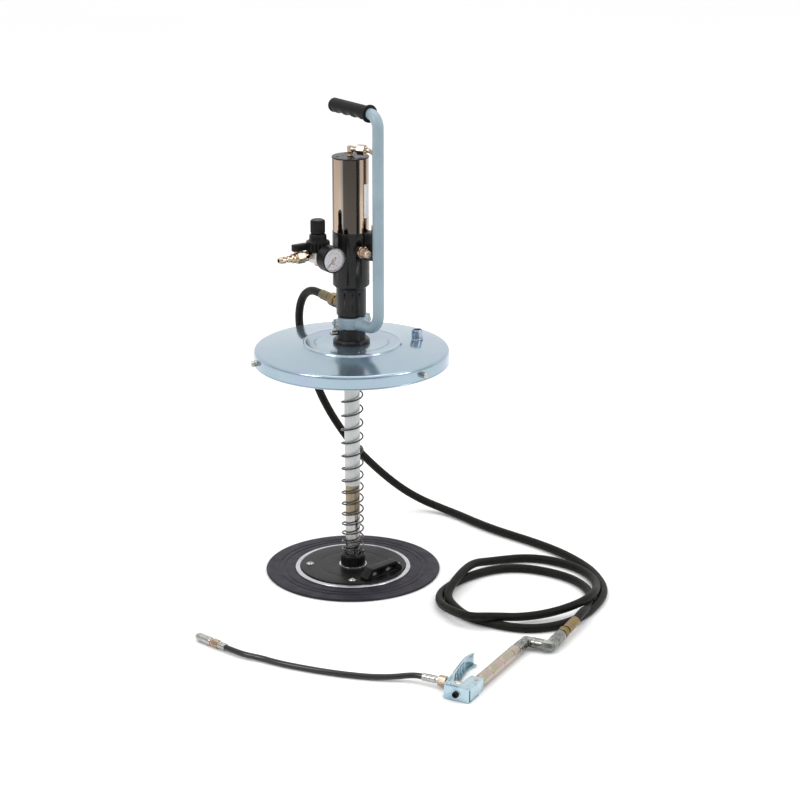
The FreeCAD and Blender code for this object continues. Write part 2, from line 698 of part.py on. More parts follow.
# --- carry handle and its clamp ---------------------------------------------
def carry_handle():
    out = along(HANDLE)
    saddle_low = collar_top + 0.8
    saddle_top = outlet_z - 0.5
    level = (float(saddle_low) + float(saddle_top)) / 2
    inner = neck_radius + seat_gap
    middle = Vector(0, 0, level)
    top = Vector(0, 0, float(handle_top))
    start = float(neck_radius) + 3
    route = [out * start + middle, out * float(handle_reach) + middle,
             out * float(handle_reach) + top, out * (-float(handle_inner_end)) + top]
    path = rounded_path(route, [handle_bend, handle_top_bend])
    pipe = swept(path, handle_radius).cut(swept(path, handle_radius - handle_wall))
    arm = shaped("handle_pipe", pipe)

    saddle = turned("saddle_turned", ring(inner, neck_radius + saddle_thick, saddle_low, saddle_top))
    ear = ear_reach
    clear = float(saddle_low) - 30
    span = (saddle_low - 5, saddle_top + 5)
    ears = block("saddle_ears", (saddle_low, saddle_top), (-ear, ear), (split_gap, 6),
                 outward(HANDLE, 0))
    ears_clear = cylinder("ears_clear", inner, 100, upright(z=clear))
    ears_cut = cut("saddle_ears_cut", ears, [ears_clear])
    keep = block("saddle_keep", span, (-60, 60), (split_gap, 60), outward(HANDLE, 0))
    half = doc.addObject("Part::MultiCommon", "saddle_half")
    half.Shapes = [saddle, keep]
    joined = fuse("handle_joined", [arm, half, ears_cut])
    bolt = bolt_radius
    side = out.cross(Vector(0, 0, 1))
    bolt_holes = [cylinder("saddle_hole%d" % i, bolt + seat_gap, 30,
                           outward(HANDLE, level, side * (sign * float(bolt_place)) - out * 10))
                  for i, sign in enumerate((-1, 1))]
    node("carry_handle", cut("carry_handle", joined, bolt_holes))

    strap = turned("strap_turned", ring(inner, neck_radius + strap_thick, saddle_low + 2,
                                        saddle_top - 2))
    behind = block("strap_keep", span, (-60, 60), (-60, -split_gap), outward(HANDLE, 0))
    strap_half = doc.addObject("Part::MultiCommon", "strap_half")
    strap_half.Shapes = [strap, behind]
    tabs = block("strap_tabs", (saddle_low + 2, saddle_top - 2), (-ear, ear),
                 (-split_gap - strap_thick, -split_gap), outward(HANDLE, 0))
    tabs_clear = cylinder("tabs_clear", inner, 100, upright(z=clear))
    tabs_cut = cut("strap_tabs_cut", tabs, [tabs_clear])
    strap_joined = fuse("strap_joined", [strap_half, tabs_cut])
    strap_holes = [cylinder("strap_hole%d" % i, bolt + seat_gap, 30,
                            outward(HANDLE, level, side * (sign * float(bolt_place)) - out * 15))
                   for i, sign in enumerate((-1, 1))]
    node("clamp_strap", cut("clamp_strap", strap_joined, strap_holes))

    bolts = []
    for i, sign in enumerate((-1, 1)):
        frame = outward(HANDLE, level, side * (sign * float(bolt_place)))
        bolts.append(turned("clamp_bolt%d" % i, [
            (0, -11), (bolt, -11), (bolt, 6), (4.4, 6), (4.4, 8.2), (3, 9.6), (0, 9.8)], frame))
        bolts.append(hex_nut("clamp_nut%d" % i, 8, bolt, -split_gap - strap_thick - 4,
                             -split_gap - strap_thick, frame))
    node("clamp_bolts", group("clamp_bolts", bolts))

    tip = -handle_inner_end - 4
    mouth = handle_reach - handle_top_bend
    frame = outward(HANDLE, handle_top)
    outline = [(0, tip), (grip_sleeve - 1, tip), (grip_sleeve, tip + 2),
               (grip_sleeve, mouth - 6), (grip_sleeve + 3, mouth - 4), (grip_sleeve + 3, mouth),
               (handle_radius, mouth), (handle_radius, -handle_inner_end),
               (0, -handle_inner_end)]
    node("handle_grip", turned("handle_grip", outline, frame))


# --- follower ---------------------------------------------------------------
def follower():
    bore = suction_radius + slide_gap
    node("follower_lip", turned("follower_lip", [
        (bore + 6, 0), (follower_radius - 1, 0), (follower_radius, 1),
        (follower_radius, follower_lip_height - 1.5), (follower_radius - 3, lip_top),
        (bore + 6, lip_top)]))
    plate = turned("plate_turned", ring(bore, plate_radius, lip_top, plate_top))
    screw_hole = 2.5
    holes = [cylinder("plate_hole%d" % i, screw_hole, 3,
                      upright(float(screw_circle) * along(90 * i).x,
                              float(screw_circle) * along(90 * i).y, float(plate_top) - 3))
             for i in range(4)]
    node("follower_plate", cut("follower_plate", plate, holes))
    node("follower_ring", turned("follower_ring", ring(
        plate_radius + 0.3, plate_radius + 0.3 + ring_width, lip_top, lip_top + ring_height)))
    node("follower_hub", turned("follower_hub", [
        (bore, plate_top), (hub_radius + 2.5, plate_top), (hub_radius + 2.5, plate_top + 1.5),
        (hub_radius, plate_top + 1.5), (hub_radius, hub_top - 2), (hub_radius - 2, hub_top),
        (bore, hub_top)]))
    screws = [turned("plate_screw%d" % i, [
        (0, plate_top - 3), (screw_hole - seat_gap, plate_top - 3),
        (screw_hole - seat_gap, plate_top), (screw_head, plate_top), (screw_head, plate_top + 1),
        (screw_head - 2.5, plate_top + 2.6), (0, plate_top + 3)],
        upright(float(screw_circle) * along(90 * i).x, float(screw_circle) * along(90 * i).y))
        for i in range(4)]
    node("follower_screws", group("follower_screws", screws))

    sideways = Rotation(Vector(0, 1, 0), Vector(0, 0, 1), Vector(1, 0, 0), "ZXY")
    frame = upright(turn=-45).multiply(Placement(Vector(0, -float(grip_shift), 0), sideways))
    inward = grip_place - grip_width / 2
    outer = grip_place + grip_width / 2
    half = grip_length / 2
    side = prism("grip_side", [
        (-half, 0), (half, 0), (half, 4), (half - 14, grip_height), (14 - half, grip_height),
        (-half, 4)], inward, outer, frame.multiply(upright(y=plate_top)))
    rib = 4
    end = 15
    opening_height = grip_height - 6
    gaps = [block("grip_gap%d" % i, span, (plate_top + 1, plate_top + opening_height),
                  (inward - 5, outer + 5), frame)
            for i, span in enumerate(((rib, half - end), (end - half, -rib)))]
    node("follower_grip", cut("follower_grip", side, gaps))

    height = lid_top - lid_wall - hub_top - spring_wire * 2
    helix = Part.makeHelix(float(height) / float(spring_turns), float(height), float(spring_radius))
    wire_section = Part.Wire(Part.Circle(Vector(float(spring_radius), 0, 0), Vector(0, 1, 0),
                                         float(spring_wire)).toShape())
    coil = Part.Wire(helix).makePipeShell([wire_section], True, True)
    spring = shaped("follower_spring", coil)
    spring.Placement = upright(z=hub_top + spring_wire)
    node("follower_spring", spring)


# --- air inlet: nipple, regulator, gauge, ball valve, plug ------------------
def air_line():
    frame = outward(INLET, inlet_height)
    half = regulator_half
    place = regulator_place
    near = place - half
    far = place + half
    nipple = turned("nipple_turned", [
        (3, 20), (port_radius - seat_gap, 20), (port_radius - seat_gap, near), (3, near)], frame)
    node("inlet_nipple", add_hex(nipple, 17, 35, near - 6))

    centre = along(INLET) * float(place)
    ring_low = inlet_height + port_radius + 0.5
    box = block("regulator_block", (-half, half), (-half, half), (inlet_height - 13, ring_low),
                upright(centre.x, centre.y, 0, INLET))
    edge = cylinder("regulator_round", half * 1.22, 40,
                    upright(centre.x, centre.y, float(inlet_height) - 20))
    body = doc.addObject("Part::MultiCommon", "regulator_common")
    body.Shapes = [box, edge]
    plug = turned("regulator_plug", [(0, inlet_height - 20), (6, inlet_height - 20),
                                     (7, inlet_height - 18), (7, inlet_height - 13),
                                     (0, inlet_height - 13)], upright(centre.x, centre.y))
    node("regulator_body", group("regulator_body", [body, plug]))
    stem = 5
    node("regulator_bonnet", turned("regulator_bonnet", [
        (stem + run_gap, ring_low + 3), (stem + run_gap, ring_low), (bonnet_radius, ring_low),
        (bonnet_radius, ring_low + 18), (15.5, ring_low + 19), (15, ring_low + 29),
        (12.5, ring_low + 31), (stem + run_gap, ring_low + 31)],
        upright(centre.x, centre.y)))
    knob_low = ring_low + 31 + free_gap
    node("regulator_knob", turned("regulator_knob", [
        (0, ring_low + 8), (stem, ring_low + 8), (stem, knob_low), (knob_radius - 1, knob_low),
        (knob_radius, knob_low + 1), (knob_radius, knob_low + 23),
        (knob_radius - 1.5, knob_low + 24.5), (0, knob_low + 24.5)],
        upright(centre.x, centre.y)))

    face = outward(GAUGE, inlet_height, centre)
    back = gauge_reach - gauge_depth
    case = turned("gauge_shell", [
        (0, half), (stem, half), (stem, back - 3), (9, back), (gauge_radius - 2, back),
        (gauge_radius, back + 2), (gauge_radius, gauge_reach), (gauge_radius - 2, gauge_reach),
        (gauge_radius - 2, gauge_reach - 5), (0, gauge_reach - 5)], face)
    dial = gauge_radius - 2 - seat_gap
    plate = turned("gauge_dial", ring(0, dial, gauge_reach - 5, gauge_reach - 4.2), face)
    node("gauge_case", group("gauge_case", [case, plate]))
    node("gauge_lens", turned("gauge_lens", ring(0, dial, gauge_reach - 1.6, gauge_reach - 0.4),
                              face))
    needle = block("needle_bar", (-5, 13), (-0.5, 0.5), (gauge_reach - 3.3, gauge_reach - 2.7),
                   face.multiply(Placement(Vector(0, 0, 0), Rotation(Vector(0, 0, 1), 135))))
    cap = cylinder("needle_cap", 1.6, 1.7,
                   face.multiply(upright(z=gauge_reach - 3.7)))
    node("gauge_needle", fuse("gauge_needle", [needle, cap]))

    ball_gap = valve_ball_radius + run_gap
    body = turned("valve_turned", [
        (0, far), (6, far), (6, far + 7), (9, far + 7.5), (9, valve_place + 9),
        (7, valve_place + 11), (0, valve_place + 11)], frame)
    add_hex(body, 20, valve_place - 8, valve_place + 8)
    stem_radius = valve_stem
    here = along(INLET) * float(valve_place)
    spot = upright(here.x, here.y, inlet_height)
    pocket = sphere("valve_pocket", ball_gap, spot)
    stem_hole = cylinder("valve_stem_hole", stem_radius + run_gap, 20, spot)
    way = outward(INLET, inlet_height, along(INLET) * (float(valve_place) - 21.8))
    throat = cylinder("valve_throat", valve_passage, 30, way)
    node("valve_body", cut("valve_body", body, [pocket, stem_hole, throat]))
    ball = sphere("valve_sphere", valve_ball_radius, spot)
    stem_rod = cylinder("valve_stem", stem_radius, 14, spot)
    passage = cylinder("valve_passage", valve_passage, 30, way)
    node("valve_ball", cut("valve_ball", fuse("valve_ball_solid", [ball, stem_rod]), [passage]))
    lever_low = 12
    lever = prism("lever_prism", [
        (-14.8, -4), (-10, -5.5), (10, -5.5), (14.8, -4), (14.8, 4), (10, 5.5), (-10, 5.5),
        (-14.8, 4)], lever_low, lever_low + 12, upright(here.x, here.y, inlet_height, INLET))
    socket = cylinder("lever_socket", stem_radius, 8,
                      upright(here.x, here.y, float(inlet_height) + 6))
    node("valve_lever", cut("valve_lever", lever, [socket]))

    start = valve_place + 11
    node("air_plug", turned("air_plug", [
        (3, start), (8.5, start), (8.5, start + 5), (6, start + 7), (6, start + 14),
        (4.5, start + 15), (4.5, start + 18), (6, start + 20), (6, start + 26),
        (4.5, start + 32.5), (3, start + 32.5)], frame))


# --- grease outlet, hose, coil ----------------------------------------------
def ellipse(label, length, width, x, y):
    """A level ellipse whose longer half-length lies along Y."""
    thing = doc.addObject("Part::Ellipse", label)
    bind(thing, "MajorRadius", length)
    bind(thing, "MinorRadius", width)
    thing.Placement = upright(x, y, 0, 90)
    return thing


def outlet_and_hose():
    frame = outward(OUTLET, outlet_port)
    adapter = turned("outlet_fitting", [
        (3, 14), (port_radius - seat_gap, 14), (port_radius - seat_gap, 27.5), (9, 27.5),
        (9, 72), (3, 72)], frame)
    add_hex(adapter, 22, 29, 46)
    add_hex(adapter, 22, 50, 70)
    node("outlet_fitting", adapter)
    ferrule = [(0, 72), (7, 72), (8.8, 73), (8.8, hose_fitting - 1), (8, hose_fitting),
               (0, hose_fitting)]
    first = turned("ferrule_start", ferrule, frame)

    out = along(OUTLET)
    lead = Vector(0, 0, float(outlet_port))
    start = out * float(hose_fitting)
    rest = float(hose_radius)
    drop = Vector(0, 0, 19)
    route = [start + lead, out * 142 + lead, out * 174 + lead - drop,
             Vector(-101.0, 164.0, 446), Vector(-100, 183, 402), Vector(-87, 198, 345),
             Vector(-67, 209, 275), Vector(-39, 220, 215), Vector(-4, 240, 156),
             Vector(42, 267, 98), Vector(86, 289, 52), Vector(127, 299, 22),
             Vector(166, 289, rest + 1.5), Vector(201, 254, rest), Vector(240, 205, rest),
             Vector(281, 162, rest), Vector(332, 117, rest), Vector(380, 67, rest),
             Vector(417, 12, rest), Vector(438, -42, rest)]
    cord_tube("main_hose", route, hose_radius)

    outer = ellipse("coil_outer", coil_length, coil_width, 304, -130)
    inner = ellipse("coil_inner", coil_inner_length, coil_inner_width, 298, -125)
    solids = []
    for thing in (outer, inner):
        solid = doc.addObject("Part::Extrusion", thing.Name + "_solid")
        solid.Base = thing
        solid.DirMode = "Custom"
        solid.Dir = Vector(0, 0, 1)
        bind(solid, "LengthFwd", hose_radius * 4)
        solid.Solid = True
        solids.append(solid)
    node("hose_coil", cut("hose_coil", solids[0], solids[1:]))

    tilt = 3.25
    corner_b = gun_frame(0, -elbow_step, gun_axis).Base
    hose_end = GUN_BASE.multiply(Placement(
        Vector(0, -float(elbow_step), float(gun_axis)),
        Rotation(Vector(0, 0, 1), Vector(math.cos(math.radians(tilt)), 0,
                                         math.sin(math.radians(tilt))))))
    second = turned("ferrule_end", [
        (0, 46.5), (7, 46.5), (7, 67), (8.8, 68), (8.8, 105), (8, 106), (0, 106)], hose_end)
    add_hex(second, 19, 48, 60)
    node("hose_ferrules", group("hose_ferrules", [first, second]))

    nut = turned("swivel_nut", [
        (6.05, 17), (10, 17), (10.5, 19), (10.5, 24), (10, 46.2), (7.05, 46.2), (7.05, 40),
        (6.05, 40)], hose_end)
    node("swivel_nut", nut)
    half_step = float(elbow_step) / 4
    neck_start = hose_end.multVec(Vector(0, 0, 15))
    bend_b = swept(rounded_path([neck_start, corner_b, gun_frame(0, half_step - elbow_step,
                                                                 gun_axis).Base],
                                [elbow_bend]), elbow_radius)
    pin_b = turned("elbow_pin_b", [(0, 14.5), (elbow_radius, 14.5), (6, 16.5), (6, 39.5),
                                   (0, 39.5)], hose_end)
    elbow_b = fuse("elbow_b", [shaped("elbow_bend_b", bend_b), pin_b])
    toward_b = gun_frame(0, 0, gun_axis).multiply(Placement(
        Vector(0, 0, 0), Rotation(Vector(0, 0, 1), Vector(0, -1, 0))))
    toward_gun = GUN_BASE.multiply(Placement(Vector(0, 0, float(gun_axis)),
                                             Rotation(Vector(0, 0, 1), Vector(-1, 0, 0))))
    bend_a = swept(rounded_path([gun_frame(0, -half_step, gun_axis).Base,
                                 gun_frame(0, 0, gun_axis).Base,
                                 gun_frame(-14, 0, gun_axis).Base], [elbow_bend]), elbow_radius)
    pin_a = turned("elbow_pin_a", ring(0, 5.5, half_step - 0.5, 31.5), toward_b)
    collar_a = turned("elbow_collar", [
        (0, 13.5), (elbow_radius, 13.5), (10, 15), (10, 40), (0, 40)], toward_gun)
    elbow_a = fuse("elbow_a", [shaped("elbow_bend_a", bend_a), pin_a, collar_a])
    node("swivel_elbows", group("swivel_elbows", [elbow_b, elbow_a]))
    node("swivel_link", turned("swivel_link", ring(
        5.6, 9.5, half_step + 0.4, elbow_step - half_step - 0.4), toward_b))


# --- control gun ------------------------------------------------------------
def control_gun():
    back = GUN_BASE.multiply(Placement(Vector(0, 0, float(gun_axis)),
                                       Rotation(Vector(0, 0, 1), Vector(-1, 0, 0))))
    tube = turned("gun_tube_turned", [
        (0, 40), (8, 40), (8, 42), (tube_radius, 64), (tube_radius, tube_end),
        (0, tube_end)], back)
    add_hex(tube, 18, 42, 64)
    head_low = head_inset
    head_top = gun_axis * 2 - head_inset
    head = block("gun_head_block", (-head_end, -tube_end), (-head_right, head_left),
                 (head_low, head_top), gun_frame())
    plunger_s = -gun_plunger_place
    bore = cylinder("gun_plunger_bore", gun_plunger_radius + run_gap, 40,
                    gun_frame(plunger_s, 0, gun_axis, "w"))
    node("gun_body", group("gun_body", [tube, cut("gun_head", head, [bore])]))

    face = -head_end - 2
    side = -head_right
    roof_low = head_top + 0.1
    roof_top = roof_low + sheet_wall
    end = -tube_end - 6
    roof = [(face, side), (end, side), (end, 4), (end - 6, 8), (-224, 8), (-227, 14),
            (-227, 36), (-236, 38), (face, 34)]
    floor = [(face, side), (end, side), (end, 8), (end - 12, 20), (-222, 38), (-236, 38),
             (face, 34)]
    sheets = [
        prism("bracket_top", roof, roof_low, roof_top, gun_frame()),
        prism("bracket_low", floor, 0, sheet_wall, gun_frame()),
        block("bracket_front", (face, face + 1.9), (side - 1, 34), (0, roof_top), gun_frame()),
        block("bracket_flank", (face, end), (side - sheet_wall, side - 0.1), (0, roof_top),
              gun_frame()),
        block("bracket_roof", (face, end), (side - sheet_wall, side), (roof_low, roof_top),
              gun_frame()),
        block("bracket_floor", (face, end), (side - sheet_wall, side), (0, sheet_wall),
              gun_frame())]
    pivot_s = -pivot_place
    pin = pivot_radius
    pin_hole = cylinder("bracket_pin_hole", pin, 40, gun_frame(pivot_s, pivot_side, -5))
    node("gun_bracket", cut("gun_bracket", fuse("bracket_joined", sheets), [pin_hole]))

    lever_low = sheet_wall + free_gap
    lever_top = gun_axis * 2 - sheet_wall - free_gap
    outer = [(-190, 44), (-164, 48.5), (-142, 52), (-122, 53.5), (-104, 49)]
    wall = 1.6
    heel = [(-238, 26), (-238, 35), (-232, 38)]
    top_cheek = heel + outer + [(-106, 45.5), (-122, 48.5), (-142, 47), (-164, 43.5),
                                (-190, 38), (-212, 30), (-226, 23), (-234, 23)]
    low_cheek = heel + outer + [(-107, 43), (-122, 42.5), (-142, 42), (-164, 37.5),
                                (-190, 33), (-215, 24), (-232, 23)]
    web = outer + [(-105.5, 47.6), (-121.7, 53.5 - wall), (-142, 52 - wall), (-164, 48.5 - wall),
                   (-190, 44 - wall)]
    pusher = 3.4
    pusher_w = pivot_side - 2.5 + free_gap
    hole = cylinder("lever_pin_hole", pin + run_gap, 40, gun_frame(pivot_s, pivot_side, -5))
    cheeks = [prism("lever_cheek_low", low_cheek, lever_low, lever_low + wall, gun_frame()),
              prism("lever_cheek_top", top_cheek, lever_top - wall, lever_top, gun_frame())]
    lever = fuse("lever_joined", cheeks + [
        prism("lever_web", web, lever_low, lever_top, gun_frame()),
        cylinder("lever_pusher", pusher, lever_top - lever_low,
                 gun_frame(plunger_s, pusher_w, lever_low))])
    node("gun_lever", cut("gun_lever", lever, [hole]))
    plunger_end = pusher_w - pusher - free_gap
    node("gun_plunger", cylinder("gun_plunger", gun_plunger_radius, plunger_end - 4,
                                 gun_frame(plunger_s, 4, gun_axis, "w")))

    pivot = turned("lever_pin", [
        (0, 0.2), (pin, 0.2), (pin, gun_axis * 2), (4.2, gun_axis * 2), (3.6, gun_axis * 2 + 1.2),
        (0, gun_axis * 2 + 1.6)], gun_frame(pivot_s, pivot_side))
    rivet = turned("bracket_rivet", [(0, head_top + 1.6), (3.6, head_top + 1.6),
                                     (2.6, head_top + 3), (0, head_top + 3.2)],
                   gun_frame(-200, -4))
    front = head_end + 2
    screw = turned("front_screw", [(0, front), (5.5, front), (5.5, front + 5), (2.6, front + 5),
                                   (2.6, front + 2), (0, front + 2)],
                   gun_frame(0, 12, gun_axis).multiply(Placement(
                       Vector(0, 0, 0), Rotation(Vector(0, 0, 1), Vector(-1, 0, 0)))))
    node("gun_pins", group("gun_pins", [pivot, rivet, screw]))


# --- short hose and grease coupler ------------------------------------------
def short_hose():
    port_s = -gun_port_place
    fitting = turned("port_fitting", [
        (0, 14), (6, 14), (6, 45.5), (8.5, 45.5), (8.5, 60), (5, 61), (5, 66), (0, 66)],
        gun_frame(port_s, 0, gun_axis, "w"))
    add_hex(fitting, 17, 46, 60)
    ferrule_a = turned("short_ferrule_a", [(0, 66), (6.5, 67), (6.5, 89), (6, 90), (0, 90)],
                       gun_frame(port_s, 0, gun_axis, "w"))
    hose_start = gun_frame(port_s, 90, gun_axis).Base
    away = gun_frame(port_s, 91, gun_axis).Base - hose_start

    tip = Vector(-260, -322, float(coupler_radius))
    back = Vector(0.735, -0.678, 0)
    back.normalize()
    length = coupler_length
    hose_finish = tip + back * float(length)
    nose = Placement(tip, Rotation(Vector(0, 0, 1), back))
    ferrule_b = turned("short_ferrule_b", [(0, 56.2), (6.5, 56.2), (6.5, 71), (6, length),
                                           (0, length)], nose)
    node("short_fittings", group("short_fittings", [fitting, ferrule_a, ferrule_b]))
    coupler = turned("coupler_turned", [
        (0, 18), (4.9, 18), (4.9, 38), (6.4, 38.5), (6.4, 41), (7.2, 42), (7.2, 55),
        (5, 56.2), (0, 56.2)], nose)
    add_hex(coupler, 14, 42, 55)
    node("coupler_sleeve", turned("coupler_sleeve", [
        (3.4, 0), (4.6, 0), (coupler_radius - 0.6, 5), (coupler_radius - 0.1, 8),
        (coupler_radius - 0.1, 36.5), (coupler_radius - 0.8, 37.6), (5, 37.6), (5, 4), (3.4, 4)],
        nose))
    jaws = []
    for i in range(4):
        sector = prism("jaw_sector%d" % i, [(0.4, 0.4), (8, 0.4), (8, 8), (0.4, 8)], 4.4, 17.6,
                       nose.multiply(Placement(Vector(0, 0, 0),
                                               Rotation(Vector(0, 0, 1), 90 * i))))
        shell = turned("jaw_shell%d" % i, ring(3.0, 4.85, 4.4, 17.6), nose)
        jaw = doc.addObject("Part::MultiCommon", "coupler_jaw%d" % i)
        jaw.Shapes = [sector, shell]
        jaws.append(jaw)
    node("coupler_body", group("coupler_body", [coupler] + jaws))

    rest = float(short_radius)
    route = [hose_start, hose_start + away * 20, Vector(75.7, -487, rest + 2),
             Vector(17, -478, rest), Vector(-42.2, -460, rest), Vector(-102.3, -434, rest),
             Vector(-146, -409, rest + 0.5),
             hose_finish + back * 26, hose_finish]
    cord_tube("short_hose", route, short_radius)


pump_tube()
plunger()
air_motor()
outlet_body()
valve_and_transfer()
silencer()
collar_and_lid()
carry_handle()
follower()
air_line()
outlet_and_hose()
control_gun()
short_hose()
doc.recompute()

faults = []
for thing in doc.Objects:
    if "Invalid" in thing.State or "Error" in thing.State:
        faults.append("%s: %s" % (thing.Label, thing.State))
for thing in nodes:
    if thing.Shape.isNull() or not thing.Shape.isValid() or not thing.Shape.Solids:
        faults.append("%s: shape is not a valid solid" % thing.Label)
if faults:
    raise RuntimeError("; ".join(faults))

os.makedirs("parts", exist_ok=True)
for thing in nodes:
    thing.Shape.exportStep("parts/%s.step" % thing.Label)
print("%d nodes" % len(nodes))
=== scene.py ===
# Looks of an air-operated grease pump kit: pump with pail lid and follower,
# air line, carry handle, grease hose in a loose coil, and lever control gun.
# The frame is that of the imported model, in metres. The makers below take millimetres
# and scale what they make to metres.
import bmesh
import bpy
from math import cos, pi, radians, sin, tan
from mathutils import Matrix, Vector


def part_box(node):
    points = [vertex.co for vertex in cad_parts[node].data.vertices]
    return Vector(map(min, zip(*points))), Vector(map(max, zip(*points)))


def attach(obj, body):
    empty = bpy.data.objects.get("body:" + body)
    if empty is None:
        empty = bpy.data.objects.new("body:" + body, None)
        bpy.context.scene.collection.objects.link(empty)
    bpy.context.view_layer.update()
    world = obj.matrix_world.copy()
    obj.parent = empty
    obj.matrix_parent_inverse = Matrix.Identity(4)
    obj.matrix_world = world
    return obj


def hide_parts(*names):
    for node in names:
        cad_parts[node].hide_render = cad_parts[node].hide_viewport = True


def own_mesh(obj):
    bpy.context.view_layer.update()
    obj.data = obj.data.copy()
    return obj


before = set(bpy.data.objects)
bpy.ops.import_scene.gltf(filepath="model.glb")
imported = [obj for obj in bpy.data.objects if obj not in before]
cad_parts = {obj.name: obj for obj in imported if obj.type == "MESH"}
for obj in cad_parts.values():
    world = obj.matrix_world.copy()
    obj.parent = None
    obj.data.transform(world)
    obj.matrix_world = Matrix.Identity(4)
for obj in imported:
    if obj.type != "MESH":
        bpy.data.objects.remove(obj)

MM = 0.001
UP = Vector((0, 0, 1))
ORIGIN = Vector((0, 0, 0))
HERE = Matrix.Identity(4)
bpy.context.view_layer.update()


# --- frames, in millimetres ---
def direction(degrees):
    angle = radians(degrees)
    return Vector((cos(angle), sin(angle), 0))


def facing(point, axis):
    """A matrix at a point whose Z is the axis and whose X is as near up as it can be."""
    z = Vector(axis).normalized()
    x = UP - z * UP.dot(z)
    if x.length < 1e-6:
        x = Vector((1, 0, 0))
    x.normalize()
    matrix = Matrix((x, z.cross(x), z)).transposed().to_4x4()
    matrix.translation = point
    return matrix


def outward(azimuth, height, start=ORIGIN):
    """Z runs outward at an azimuth from the pump's axis, X points up."""
    return facing(Vector(start) + UP * height, direction(azimuth))


def at(x=0, y=0, z=0, turn=0):
    return Matrix.Translation((x, y, z)) @ Matrix.Rotation(radians(turn), 4, "Z")


HANDLE, TRANSFER, EXHAUST, INLET, GAUGE = -53, -24.5, -63, 215, -55
OUTLET, SCREW, SOCKET = 121.5, 195, 16.9
AIR_LEVEL, EXHAUST_LEVEL, OUTLET_LEVEL = 605.5, 609.6, 498
GUN = at(300, -355, 0, 62.1)


def gun(s=0, w=0, height=0):
    """A point in the gun's own plan: s along the gun, w to its left."""
    return GUN @ Vector((s, w, height))


def gun_facing(s, w, height, axis):
    return facing(gun(s, w, height), GUN.to_3x3() @ Vector(axis))


TILT = radians(3.25)
GUN_AXIS = 12
LINK_END = gun_facing(0, 0, GUN_AXIS, (0, -1, 0))
GUN_BACK = gun_facing(0, 0, GUN_AXIS, (-1, 0, 0))
HOSE_END = gun_facing(0, -44, GUN_AXIS, (cos(TILT), 0, sin(TILT)))
TIP = Vector((-260, -322, 7.5))
BACK = Vector((0.735, -0.678, 0)).normalized()
NOSE = facing(TIP, BACK)


def level_of(node, top=True):
    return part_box(node)[1 if top else 0][2] / MM


# --- mesh makers ---
def new_object(mesh, place, finish):
    """The mesh moved from its place in millimetres and scaled to metres, as an object."""
    thing = bpy.data.objects.new("piece", mesh)
    bpy.context.collection.objects.link(thing)
    mesh.transform(place)
    mesh.transform(Matrix.Scale(MM, 4))
    if finish:
        mesh.materials.append(MAT[finish])
    for face in mesh.polygons:
        face.use_smooth = True
    return thing


def finish_mesh(bm, place=HERE, finish=None, sharp=35):
    bmesh.ops.recalc_face_normals(bm, faces=bm.faces)
    for edge in bm.edges:
        if len(edge.link_faces) == 2:
            edge.smooth = edge.calc_face_angle(0) < radians(sharp)
    mesh = bpy.data.meshes.new("piece")
    bm.to_mesh(mesh)
    bm.free()
    return new_object(mesh, place, finish)


def oblong(left, right, low, high):
    return [(left, low), (right, low), (right, high), (left, high)]


def polar(radius, degrees):
    return radius * direction(degrees).x, radius * direction(degrees).y


def rounded(outline, radius, steps=4):
    """The outline with each corner off the axis turned into a small arc."""
    points = [Vector((p[0], p[1])) for p in outline]
    result = []
    for i, corner in enumerate(points):
        before = points[i - 1] - corner
        after = points[(i + 1) % len(points)] - corner
        reach = min(radius, before.length * 0.45, after.length * 0.45)
        if corner[0] < 1e-6 or reach < 1e-4:
            result.append(corner)
            continue
        first = corner + before.normalized() * reach
        last = corner + after.normalized() * reach
        for k in range(steps + 1):
            t = k / steps
            result.append(first * (1 - t) ** 2 + corner * 2 * t * (1 - t) + last * t ** 2)
    return result


def turned(profile, place, finish, steps, radius_at, sharp=35):
    """A closed profile of (radius, height) carried round Z, with the radius set by angle."""
    bm = bmesh.new()
    rings = []
    for k in range(steps):
        angle = 2 * pi * k / steps
        row = []
        for r, z in profile:
            radius = radius_at(angle, r, z)
            row.append(bm.verts.new((radius * cos(angle), radius * sin(angle), z)))
        rings.append(row)
    count = len(profile)
    for k in range(steps):
        a, b = rings[k], rings[(k + 1) % steps]
        for i in range(count):
            j = (i + 1) % count
            if profile[i][0] > 1e-6 or profile[j][0] > 1e-6:
                bm.faces.new((a[i], b[i], b[j], a[j]))
    bmesh.ops.remove_doubles(bm, verts=bm.verts, dist=1e-5)
    return finish_mesh(bm, place, finish, sharp)


def plain_round(angle, radius, height):
    return radius


def lathe(outline, place=HERE, finish=None, bevel=0.5, steps=96, wave=plain_round):
    return turned(rounded(outline, bevel), place, finish, steps, wave)


def hexagon(across, low, high, place, finish, bore=0, chamfer=0.9):
    """A hexagon nut or collar along Z with turned chamfers at both ends."""
    flat = across / 2
    corner = flat / cos(radians(30))
    middle = flat + (corner - flat) * 0.5

    def six_sided(angle, limit, height):
        if limit <= bore:
            return limit
        turn = (angle + pi / 6) % (pi / 3) - pi / 6
        return min(flat / cos(turn), corner - 0.35, limit)
    rows = [(bore, low), (flat - 0.4, low), (flat, low + 0.15), (middle, low + chamfer * 0.5),
        (corner, low + chamfer), (corner, high - chamfer), (middle, high - chamfer * 0.5),
        (flat, high - 0.15), (flat - 0.4, high), (bore, high)]
    return turned(rows, place, finish, 96, six_sided, 18)


